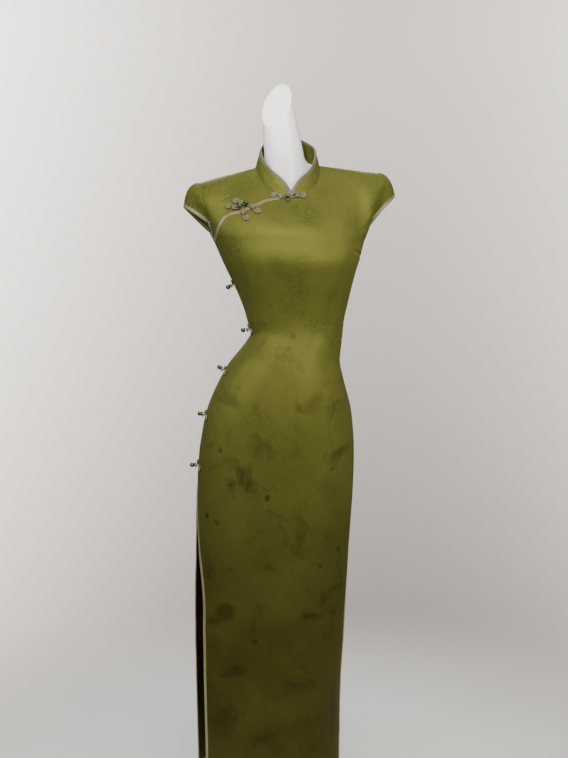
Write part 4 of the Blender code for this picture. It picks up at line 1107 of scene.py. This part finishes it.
def make_collar():
    """The band's wall on a grid of degrees and rise, and the corded edge up one front, round
    the top and down the other front."""
    degrees = weighted_steps(COLLAR_GAP, 360 - COLLAR_GAP, 181, (0, 360), (3, 3), (25, 25))
    share = np.linspace(0, 1, 25)[:, None]
    rise = share * collar_top(degrees)
    around = np.broadcast_to(degrees, rise.shape)
    body = collar_body(around, share)
    outer, inner = (collar_surface(around, rise, body + lift) for lift in (COLLAR_WALL, 0.0))
    piece = wall_piece("silk_collar", inner, outer, silk, ["collar"])
    BOUND["collar_band"] = "silk_collar"
    climb = np.linspace(0.5 * MM, collar_top(np.array([COLLAR_GAP]))[0], 5)[:-1]
    edge_degrees = weighted_steps(COLLAR_GAP, 360 - COLLAR_GAP, 241, (0, 360), (3, 3), (25, 25))
    around = np.concatenate([np.full_like(climb, COLLAR_GAP), edge_degrees,
                             np.full_like(climb, 360 - COLLAR_GAP)])
    rise = np.concatenate([climb, collar_top(edge_degrees), climb[::-1]])
    edge = collar_surface(around, rise, np.full_like(rise, COLLAR_WALL / 2))
    down = np.stack([0 * around, 0 * around, -np.ones_like(around)], axis=-1)
    sideways = np.where(around < 180, 1.0, -1.0) * (np.abs(around - 180) > 150)
    inside = down + np.stack([sideways * 1.2, 0 * around, 0 * around], axis=-1)
    way, run = edge_frame(edge, collar_way(around), inside)
    before, after = (np.clip(around + step, COLLAR_GAP, 360 - COLLAR_GAP) for step in (-0.2, 0.2))
    seated = np.zeros_like(rise)
    ahead = collar_surface(after, rise, seated) - collar_surface(before, rise, seated)
    per_degree = ahead / np.maximum(after - before, 1e-6)[:, None]
    climb_way = unit(
        collar_surface(around, rise + MM, seated) - collar_surface(around, rise, seated)
    )
    speed = np.linalg.norm(per_degree, axis=-1)
    slant = np.sum(unit(per_degree) * climb_way, axis=-1)
    pa, pb = np.sum(unit(per_degree) * way, axis=-1), np.sum(climb_way * way, axis=-1)
    step_run, step_up = ((pa - slant * pb) / (1 - slant**2), (pb - slant * pa) / (1 - slant**2))

    def point_at(inset, lift):
        turn = np.clip(around + inset * step_run / speed, COLLAR_GAP, 360 - COLLAR_GAP)
        height = np.clip(rise + inset * step_up, 0.0, collar_top(turn))
        return collar_surface(turn, height, collar_body(turn, height / collar_top(turn)) + lift)

    strip_piece(
        "collar_band", point_at, way, run, CORDED_FOLD, COLLAR_WALL, "collar_binding",
        binding_satin("grey-beige corded satin edge", "#7C7558", "#524B38", lined=True),
    )


make_collar()

# Cap sleeves. Each is one small piece of silk, eased into the upper armhole so that its head
# puckers a little, and it hangs free over the arm's opening with a bound hem.
SLEEVE_TIPS = {-1: (-0.1985, 0.0, 1.304), 1: (0.268, 0.0, 1.335)}
# Share of the yoke's height at which a sleeve's hem leaves the armhole, and how much further
# round its back half aims
SLEEVE_END, SLEEVE_DIP = 0.22, 1.17
# Size (mm) and start of the folds that run down a sleeve, by hand
SLEEVE_FOLDS = {-1: (0.55, 0.4), 1: (1.25, 2.1)}
SLEEVE_ROWS = 44


def armhole_edge(hand, turn):
    """The armhole from turn -1 at the front end over the shoulder to 1 at the back end: its
    place, the cloth's way out across it, and the way that the cloth faces."""
    height = ARMPIT + (SHOULDER - ARMPIT) * (1 - (1 - SLEEVE_END) * np.abs(turn))
    share = np.full_like(height, float(hand))
    front, back = (np.concatenate([
        figure(s, share, height), unit(figure(s, share, height) - figure(s, share * 0.972, height)),
        cloth_normal(s, share, height),
    ], axis=-1) for s in (-1, 1))
    # The front's values go over into the back's close to the shoulder seam
    mix = np.clip(0.5 + turn * 16 / 3, 0, 1)[:, None]
    mixed = front * (1 - mix) + back * mix
    return mixed[:, :3], unit(mixed[:, 3:6]), unit(mixed[:, 6:])


def sleeve_surface(hand, turn, down, lift):
    """Cubics from the armhole, which leave along the shoulder and arrive downwards at a hem
    that swings out to the tip as a cosine. turn and down are grids."""
    around = turn[0]
    seam, way, facing = armhole_edge(hand, around)
    ends, _, _ = armhole_edge(hand, np.array([-1.0, SLEEVE_DIP]))
    tip = np.array(SLEEVE_TIPS[hand])
    end = np.where((around < 0)[:, None], ends[0], ends[1])
    hem = end + (tip - end) * np.cos(around * math.pi / 2)[:, None]
    hem[:, 1] = tip[1] + (end[:, 1] - tip[1]) * np.sin(np.abs(around) * math.pi / 2)
    start = seam - way * 0.15 * MM
    reach = np.linalg.norm(hem - start, axis=1, keepdims=True)
    drop = unit(np.stack([hand * (0.1 + 0.5 * np.abs(around)), 0 * around, -1 + 0 * around], axis=1))
    ways = unit(way + np.array([hand * 0.25, 0, 0.06]))
    points = hermite(down[..., None], start, hem, 1.15 * reach * ways, 1.15 * reach * drop)
    along, across = np.gradient(points, axis=1), np.gradient(points, axis=0)
    normals = unit(np.cross(along, across))
    if normals[2, len(around) // 2, 2] < 0:
        normals = -normals
    blend = ease(down, 0.0, 0.10)[..., None]
    normals = unit(facing * (1 - blend) + normals * blend)
    amount, start_at = SLEEVE_FOLDS[hand]
    size = np.clip(reach[:, 0] / 0.04, 0, 1) * (1 - ease(np.abs(turn), 0.70, 0.93))
    puckers = 0.34 * MM * np.sin(46 * turn + 3 * np.sin(5 * turn)) * bell(down, 0.07, 0.12)
    folds = amount * MM * np.sin(8.5 * turn + 2.6 * down + start_at) * ease(down, 0.05, 0.45) \
        * (1 - 0.45 * ease(down, 0.7, 1.0))
    folds = folds + 0.35 * MM * np.sin(17 * turn - 5.0 * down + start_at) * np.sin(math.pi * down)
    rolled = -0.4 * MM * bell(down, 0, 0.035)
    stand = size * (puckers + folds) + rolled
    return points + normals * (stand + lift)[..., None]


def make_sleeve(hand, name):
    """The sleeve's wall, and its bound hem carried along the last row."""
    turn, down = np.meshgrid(np.linspace(-0.93, 0.93, 141), np.linspace(0, 1, SLEEVE_ROWS + 1))
    outer, inner = (sleeve_surface(hand, turn, down, lift) for lift in (CLOTH, 0.0))
    piece = wall_piece(f"silk_{name}_sleeve", inner, outer, silk, [f"{name}_sleeve"])
    BOUND[f"{name}_sleeve_band"] = f"silk_{name}_sleeve"
    mid = (outer + inner) / 2
    length = np.linalg.norm(np.diff(mid, axis=0), axis=-1).sum(axis=0)
    way, run = edge_frame(mid[-1], unit(outer[-1] - inner[-1]), mid[-8] - mid[-1])

    def point_at(inset, lift):
        share = 1 - np.minimum(inset / length, 0.75)
        base = sleeve_surface(hand, turn, down, lift)
        low = np.clip((share * SLEEVE_ROWS).astype(int), 0, SLEEVE_ROWS - 1)
        part = (share * SLEEVE_ROWS - low)[:, None]
        column = np.arange(len(share))
        return base[low, column] * (1 - part) + base[low + 1, column] * part

    strip_piece(f"{name}_sleeve_band", point_at, way, run, FOLD, CLOTH, f"{name}_sleeve_binding",
                satin)


for hand, name in ((-1, "right"), (1, "left")):
    make_sleeve(hand, name)

# Frog fastenings. Round cords, each a bias tube of the binding's satin over a core, are coiled
# flat and sewn down, and a bead of polished jade on one half goes through the other's loop.
CORD = 3.5 * MM
COIL_PITCH = 3.15 * MM
BIG_COIL, SMALL_COIL, COIL_START = 6.8 * MM, 4.9 * MM, 1.3 * MM
COIL_LIFT = 2.4 * MM
LOOP_AT, LOOP_RADIUS = 4.6 * MM, 1.95 * MM
BEAD = 10.6 * MM
# The small cord ball under the collar's bead: its width, and how far off the bead (mm)
STOP_BALL, STOP_OFF = 6.5 * MM, (0.5, 0, -8.2)
# root is what the bead sits over, looks the way that the frog faces, and rise how far its cords
# stand off the cloth at the bead (mm). Each half has its direction from the bead, and how far
# along it the small and the big coil lie (mm, 0 for no big coil).
FROG_COLUMNS = ("name", "root", "looks", "rise", "knot", "knot_at", "loop", "loop_at")
FROGS = (
    ("collar_frog", (0.0170, -0.07, 1.3228), (0, -1, 0), 0,
     (-1, 0, 0.28), (15, 29), (1, 0, 0.26), (21.5, 35.5)),
    ("chest_frog_1", (-0.0845, -0.10, 1.2970), (0, -1, 0), 0,
     (-0.90, 0, 0.44), (14, 28), (0.50, 0, -0.86), (13.5, 27)),
    ("chest_frog_2", (-0.0704, -0.10, 1.3050), (0, -1, 0), 0,
     (-0.83, 0, 0.56), (13.5, 27), (0.75, 0, -0.66), (13.5, 27)),
) + tuple(
    (f"side_frog_{number}", (across, -0.004, height), (-1, 0, 0), 6.5,
     (0, -1, -0.25), (15, 0), (0, 1, 0.25), (15, 0))
    for number, across, height in (
        (1, -0.09, 1.139), (2, -0.06, 1.042), (3, -0.11, 0.950), (4, -0.15, 0.853),
        (5, -0.17, 0.743),
    )
)


def covered_cord():
    """Satin tube pulled over a cotton core: a dull gloss, with its seam and threads wound
    slantwise round the cord."""
    finish, tree, shader = new_finish(
        "satin covered cord", Roughness=0.5, Metallic=0.08, IOR=1.52, Sheen_Weight=0.3,
        Sheen_Roughness=0.45, Sheen_Tint=linear("#DDD6BC"),
    )
    cord_place = add_node(tree, "ShaderNodeUVMap", uv_map="cloth").outputs[0]
    place = add_node(tree, "ShaderNodeTexCoord").outputs["Object"]
    slant = add_node(
        tree, "ShaderNodeMapping", {"Vector": cord_place, "Rotation": (0, 0, math.radians(38))}
    ).outputs[0]
    threads = add_node(
        tree, "ShaderNodeTexWave", {"Vector": slant, "Scale": WAVE_PITCH / (0.9 * MM),
                                    "Distortion": 1.2, "Detail": 2.0},
        bands_direction="X",
    ).outputs["Fac"]
    cloud = add_node(
        tree, "ShaderNodeTexNoise", {"Vector": place, "Scale": 260.0, "Detail": 3.0}
    ).outputs["Fac"]
    ground = add_node(
        tree, "ShaderNodeMix", {0: cloud, 6: linear("#978D64"), 7: linear("#60593E")},
        data_type="RGBA",
    ).outputs[2]
    colour = add_node(
        tree, "ShaderNodeMix", {0: threads, 6: linear("#696148"), 7: ground}, data_type="RGBA",
    ).outputs[2]
    bump = add_node(
        tree, "ShaderNodeBump", {"Height": threads, "Strength": 0.45, "Distance": 0.2 * MM}
    ).outputs[0]
    link_shader(tree, shader, Base_Color=colour, Normal=bump)
    return finish


def polished_jade():
    """Dark green nephrite, turned and polished: deep colour with paler veins, wet-looking."""
    finish, tree, shader = new_finish(
        "polished green jade", Roughness=0.12, IOR=1.61, Coat_Weight=0.5, Coat_Roughness=0.04,
        Subsurface_Weight=0.1, Subsurface_Scale=0.002,
    )
    place = add_node(tree, "ShaderNodeTexCoord").outputs["Object"]
    veins = add_node(
        tree, "ShaderNodeTexNoise", {"Vector": place, "Scale": 190.0, "Detail": 5.0,
                                     "Distortion": 1.8},
    ).outputs["Fac"]
    sharp = add_node(
        tree, "ShaderNodeMapRange", {"Value": veins, "From Min": 0.38, "From Max": 0.72}
    ).outputs[0]
    colour = add_node(
        tree, "ShaderNodeMix", {0: sharp, 6: linear("#06260F"), 7: linear("#145428")},
        data_type="RGBA",
    ).outputs[2]
    link_shader(tree, shader, Base_Color=colour)
    return finish


def arc(centre, radius_from, radius_to, degrees_from, degrees_to, steps):
    """Points round a centre whose radius and angle both change evenly: a circle or a spiral."""
    share = np.linspace(0, 1, steps + 1)
    radius = radius_from + (radius_to - radius_from) * share
    angle = np.radians(degrees_from + (degrees_to - degrees_from) * share)
    return np.stack([centre[0] + radius * np.cos(angle), centre[1] + radius * np.sin(angle)], axis=1)


def frog_line(small_at, big_at):
    """Half a frog, flat, with its loop at the bead: a big coil, a run under the small coil, the
    loop, and back over the run into the small coil. One smooth curve at 1 mm steps, with how
    far it is lifted off the cloth where it lies over the run."""
    loop = arc((LOOP_AT, 0), LOOP_RADIUS, LOOP_RADIUS, -90, -270, 6)
    small_turns = (SMALL_COIL - COIL_START) / COIL_PITCH
    if big_at:
        big_turns = (BIG_COIL - COIL_START) / COIL_PITCH
        tail = np.concatenate([
            [(big_at, 0.0)],
            arc((big_at, 0), COIL_START, BIG_COIL, -120 + 360 * big_turns, -120, 24)])
        under = [(small_at + 4.5 * MM, -3.0 * MM), (small_at - 1.0 * MM, -2.2 * MM),
                 (LOOP_AT + 2.5 * MM, -1.9 * MM)]
        centre = (small_at, 0.0)
    else:
        tail = [(small_at - SMALL_COIL - 3.6 * MM, -LOOP_RADIUS)]
        under = []
        centre = (small_at, LOOP_RADIUS - SMALL_COIL)
    top = [(LOOP_AT + 2.5 * MM, LOOP_RADIUS + 0.15 * MM)]
    coil = arc(centre, SMALL_COIL, COIL_START, 100, 100 - 360 * small_turns, 13)
    knots = np.concatenate([np.array(p) for p in (tail, under, loop, top, coil, [centre]) if len(p)])
    over = np.zeros(len(knots))
    if big_at:
        over[:3], over[-len(coil) - 1:] = 1.0 * MM, COIL_LIFT
    run = run_length(knots)
    read = np.linspace(0, run[-1], int(run[-1] / MM) + 1)
    path = np.stack([smooth_read(read, run, knots[:, k]) for k in (0, 1)], axis=-1)
    return path, np.interp(read, run, over)


def laid_on_cloth(tree, root, along, normal, path, over, rise):
    """The path's points rest on the highest cloth under the cord, found by rays from outside
    and evened out along the cord."""
    across = np.cross(normal, along)
    flat = root + path[:, :1] * along + path[:, 1:] * across
    radius = CORD / 2
    under = np.full(len(path), -1.0)
    for a, b in ((0, 0), (0.8, 0), (-0.8, 0), (0, 0.8), (0, -0.8)):
        spots = flat + (a * along + b * across) * radius
        hits = [tree.ray_cast(Vector(s + normal * 0.03), Vector(-normal), 0.06)[0] for s in spots]
        reach = [-1.0 if h is None else float((np.array(h) - root) @ normal) for h in hits]
        under = np.maximum(under, reach)
    under = np.where(under > -0.5, under, np.median(under[under > -0.5]))
    window = 9
    padded = np.pad(under, window // 2, mode="edge")
    wide = np.max([padded[k:k + len(path)] for k in range(2, window - 2)], axis=0)
    padded = np.pad(wide, window // 2, mode="edge")
    wide = np.mean([padded[k:k + len(path)] for k in range(window)], axis=0)
    near = rise * (1 - ease(path[:, 0], LOOP_AT, LOOP_AT + 9 * MM))
    return flat + normal * (wide + near + over + radius - 0.1 * MM)[:, None]


def cord_piece(name, line, up, node, finish, sides=14):
    """Circles carried along a line, square to it, closed by a dome at each end."""
    radius = CORD / 2
    along = unit(np.gradient(line, axis=0))
    turns = np.radians([90, 60, 30])
    first = line[:1] - along[:1] * (radius * np.sin(turns))[:, None]
    last = line[-1:] + along[-1:] * (radius * np.sin(turns[::-1]))[:, None]
    size = np.concatenate([np.cos(turns), np.ones(len(line)), np.cos(turns[::-1])])
    line = np.concatenate([first, line, last])
    along = np.concatenate([np.repeat(along[:1], 3, axis=0), along, np.repeat(along[-1:], 3, axis=0)])
    beside = unit(np.cross(along, up))
    over = np.cross(beside, along)
    turn = np.arange(sides) * 2 * math.pi / sides
    ring = np.cos(turn)[:, None] * beside[:, None] + np.sin(turn)[:, None] * over[:, None]
    points = line[:, None] + ring * (radius * size)[:, None, None]
    faces = grid_quads(*points.shape[:2], round_columns=True)
    flat = points.reshape(-1, 3)
    centre = np.repeat(line, sides, axis=0)
    faces = outward(flat, faces, flat[faces].mean(axis=1) - centre[faces].mean(axis=1))
    uv = np.stack(np.broadcast_arrays(run_length(line)[:, None], turn * radius), axis=-1)
    return make_piece(name, flat, faces, finish, [node], uv=uv, weld=True)


def ball_piece(name, centre, axis, diameter, finish, nodes):
    """A sphere of circles of latitude about an axis, with a shallow drilled dimple on top."""
    radius = diameter / 2
    level = np.linspace(0, math.pi, 25)
    ring_radius, rise = radius * np.sin(level), -radius * np.cos(level)
    rise = rise - 0.05 * diameter * bell(math.pi - level, 0, 0.16)
    side = unit(np.cross(axis, np.array([0.2, 0.9, 0.4])))
    other = np.cross(axis, side)
    turn = np.arange(36) * 2 * math.pi / 36
    circle = np.cos(turn)[:, None] * side + np.sin(turn)[:, None] * other
    points = centre + ring_radius[:, None, None] * circle + rise[:, None, None] * axis
    faces = grid_quads(*points.shape[:2], round_columns=True)
    flat = points.reshape(-1, 3)
    faces = outward(flat, faces, flat[faces].mean(axis=1) - centre)
    return make_piece(name, flat, faces, finish, nodes, weld=True)


def cloth_tree():
    """The faces of every piece of cloth and binding made so far, for resting the cords on."""
    points, faces = [], []
    for made in bpy.context.scene.objects:
        if made.type == "MESH" and made.name in BOUND | dict.fromkeys(BOUND.values()):
            start = len(points)
            points += [v.co.copy() for v in made.data.vertices]
            faces += [tuple(start + i for i in p.vertices) for p in made.data.polygons]
    return BVHTree.FromPolygons(points, faces)


def make_frogs():
    """Each frog's two halves are laid out from the bead's root and rest on the cloth there."""
    tree = cloth_tree()
    cord, jade = covered_cord(), polished_jade()
    for row in FROGS:
        frog = dict(zip(FROG_COLUMNS, row))
        looks = np.array(frog["looks"], float)
        start = Vector(np.array(frog["root"]) + looks * 0.1)
        root = np.array(tree.ray_cast(start, Vector(-looks), 0.3)[0])
        low, high = (np.array(v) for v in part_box(f"{frog['name']}_bead"))
        bead = (low + high) / 2
        normal = figure_normal(-1, *nearest_share(root))
        for half in ("knot", "loop"):
            small_at, big_at = frog[f"{half}_at"]
            path, over = frog_line(small_at * MM, big_at * MM)
            along = np.array(frog[half], float)
            along = unit(along - normal * (along @ normal))
            line = laid_on_cloth(tree, root, along, normal, path, over, frog["rise"] * MM)
            cord_piece(f"{frog['name']}_{half}_cord", line, normal, f"{frog['name']}_{half}", cord)
        ball_piece(f"{frog['name']}_jade", bead, normal, BEAD, jade, [f"{frog['name']}_bead"])
        if frog["name"] == "collar_frog":
            below = bead + normal * -1.2 * MM + np.array(STOP_OFF) * MM
            ball_piece("collar_frog_stop", below, normal, STOP_BALL, cord, [])


def nearest_share(spot):
    """Share and height of the front's point nearest a spot, searched on a grid."""
    share, height = np.meshgrid(np.linspace(-1, 1, 161), np.linspace(0.7, SHOULDER, 240))
    away = np.linalg.norm(figure(-1, share, height) - spot, axis=-1)
    best = np.unravel_index(np.argmin(away), away.shape)
    return np.array(share[best]), np.array(height[best])


make_frogs()

# Studio: a pale floor, a pale surround and soft lamps above, as round a display figure.
FLOOR_RADIUS = 3.2
TARGET, DISTANCE, AZIMUTH, ELEVATION = (0.02, 0.0, 0.93), 2.62, -9.0, 4.0
FIELD_DEG, SENSOR_WIDTH = 35.5, 36
NECK_SPOT_PLACE, NECK_SPOT_POWER, NECK_SPOT_DEG = (-0.55, -1.30, 1.95), 160, 13.5
# The surround's painted light is dimmest behind the figure, at this x of the way looked, and gains by
# the square of the distance from it, and by the distance on its left.
WALL_DIM_AT, WALL_SIDE_GAIN, WALL_LEFT_GAIN = 0.19, 18.0, 1.25
# Lamps: name, place, what it points at, width and depth, power in watts and colour
LAMPS = (
    ("overhead", (-0.25, -1.95, 2.75), (0.02, 0.0, 1.25), 1.6, 0.9, 44, "#FFFAF2"),
    ("right front", (1.3, -2.3, 1.55), (0.0, 0.0, 1.25), 1.0, 0.9, 36, "#FFFBF4"),
    ("left front", (-2.0, -1.7, 1.9), (0.0, 0.0, 1.15), 1.0, 1.2, 26, "#F8FAFF"),
    ("behind", (0.3, 2.0, 2.4), (0.0, 0.0, 1.1), 1.4, 1.0, 55, "#FFFFFF"),
)


def make_studio():
    """Floor disc that fades out, surround, lamps and camera."""
    work = bmesh.new()
    bmesh.ops.create_circle(work, cap_ends=True, radius=FLOOR_RADIUS, segments=128)
    mesh = bpy.data.meshes.new("floor")
    work.to_mesh(mesh)
    work.free()
    floor = bpy.data.objects.new("floor", mesh)
    bpy.context.scene.collection.objects.link(floor)
    finish, tree, shader = new_finish("pale painted floor", Roughness=0.7)
    place = add_node(tree, "ShaderNodeTexCoord").outputs["Object"]
    cloud = add_node(tree, "ShaderNodeTexNoise", {"Vector": place, "Scale": 3.0, "Detail": 4.0})
    tint = add_node(
        tree, "ShaderNodeMix", {0: cloud.outputs["Fac"], 6: linear("#D9D5D0"),
                                7: linear("#D2CEC9")}, data_type="RGBA",
    )
    link_shader(tree, shader, Base_Color=tint.outputs[2])
    far = add_node(tree, "ShaderNodeVectorMath", {0: place}, operation="LENGTH").outputs["Value"]
    fade = add_node(
        tree, "ShaderNodeMapRange", {"Value": far, "From Min": 0.45, "From Max": 1.7,
                                     "To Min": 1.0, "To Max": 0.0},
        interpolation_type="SMOOTHSTEP",
    )
    link_shader(tree, shader, Alpha=fade.outputs[0])
    mesh.materials.append(finish)

    world = bpy.data.worlds.new("pale studio")
    bpy.context.scene.world = world
    world.use_nodes = True
    tree = world.node_tree
    sky = tree.nodes["Background"]
    way = add_node(tree, "ShaderNodeTexCoord").outputs["Generated"]
    ways = add_node(tree, "ShaderNodeSeparateXYZ", {"Vector": way}).outputs
    amount = add_node(
        tree, "ShaderNodeMapRange", {"Value": ways["Z"], "From Min": -0.5, "From Max": 0.9}
    ).outputs[0]
    room = add_node(
        tree, "ShaderNodeMix", {0: amount, 6: linear("#4A4743"), 7: linear("#D2D0CE")},
        data_type="RGBA",
    ).outputs[2]
    # What is seen directly is painted light: paler high up and to both sides, the left most
    seen = add_node(tree, "ShaderNodeLightPath").outputs["Is Camera Ray"]
    shown = add_node(
        tree, "ShaderNodeMix", {0: seen, 6: room, 7: linear("#F0E6DD")}, data_type="RGBA",
    ).outputs[2]
    lift = add_node(
        tree, "ShaderNodeMapRange", {"Value": ways["Z"], "From Min": -0.38, "From Max": 0.20,
                                     "To Min": 0.35, "To Max": 1.5},
    ).outputs[0]
    off = add_node(
        tree, "ShaderNodeMath", {0: ways["X"], 1: WALL_DIM_AT}, operation="SUBTRACT"
    ).outputs[0]
    squared = add_node(tree, "ShaderNodeMath", {0: off, 1: off}, operation="MULTIPLY").outputs[0]
    leftward = add_node(
        tree, "ShaderNodeMath", {0: off, 1: -WALL_LEFT_GAIN, 2: 1.0}, operation="MULTIPLY_ADD"
    ).outputs[0]
    aside = add_node(
        tree, "ShaderNodeMath", {0: squared, 1: WALL_SIDE_GAIN, 2: leftward},
        operation="MULTIPLY_ADD",
    ).outputs[0]
    strength = add_node(
        tree, "ShaderNodeMath", {0: lift, 1: aside}, operation="MULTIPLY"
    ).outputs[0]
    bright = add_node(
        tree, "ShaderNodeMix", {0: seen, 2: 1.0, 3: strength}, data_type="FLOAT"
    ).outputs[0]
    tree.links.new(shown, sky.inputs["Color"])
    tree.links.new(bright, sky.inputs["Strength"])

    for name, place, aim, width, depth, power, colour in LAMPS:
        lamp = bpy.data.lights.new(name, "AREA")
        lamp.shape, lamp.size, lamp.size_y = "RECTANGLE", width, depth
        lamp.energy, lamp.color = power, linear(colour)[:3]
        made = bpy.data.objects.new(name, lamp)
        made.location = place
        made.rotation_euler = (Vector(aim) - Vector(place)).to_track_quat("-Z", "Y").to_euler()
        bpy.context.scene.collection.objects.link(made)

    spot = bpy.data.lights.new("neck spot", "SPOT")
    spot.energy, spot.spot_size, spot.spot_blend = NECK_SPOT_POWER, math.radians(NECK_SPOT_DEG), 1.0
    spot.shadow_soft_size = 0.12
    made = bpy.data.objects.new("neck spot", spot)
    made.location = NECK_SPOT_PLACE
    aim = Vector((NECK_CUT_POINT[0], NECK_CUT_POINT[1], NECK_CUT_POINT[2] + 0.01))
    made.rotation_euler = (aim - Vector(NECK_SPOT_PLACE)).to_track_quat("-Z", "Y").to_euler()
    bpy.context.scene.collection.objects.link(made)

    lens = bpy.data.cameras.new("camera")
    lens.sensor_fit, lens.sensor_width = "AUTO", SENSOR_WIDTH
    lens.lens = SENSOR_WIDTH / 2 / math.tan(math.radians(FIELD_DEG / 2))
    camera = bpy.data.objects.new("camera", lens)
    turn, tilt = math.radians(AZIMUTH), math.radians(ELEVATION)
    away = Vector((math.sin(turn) * math.cos(tilt), -math.cos(turn) * math.cos(tilt), math.sin(tilt)))
    camera.location = Vector(TARGET) + away * DISTANCE
    camera.rotation_euler = (-away).to_track_quat("-Z", "Y").to_euler()
    bpy.context.scene.collection.objects.link(camera)
    bpy.context.scene.camera = camera


make_studio()
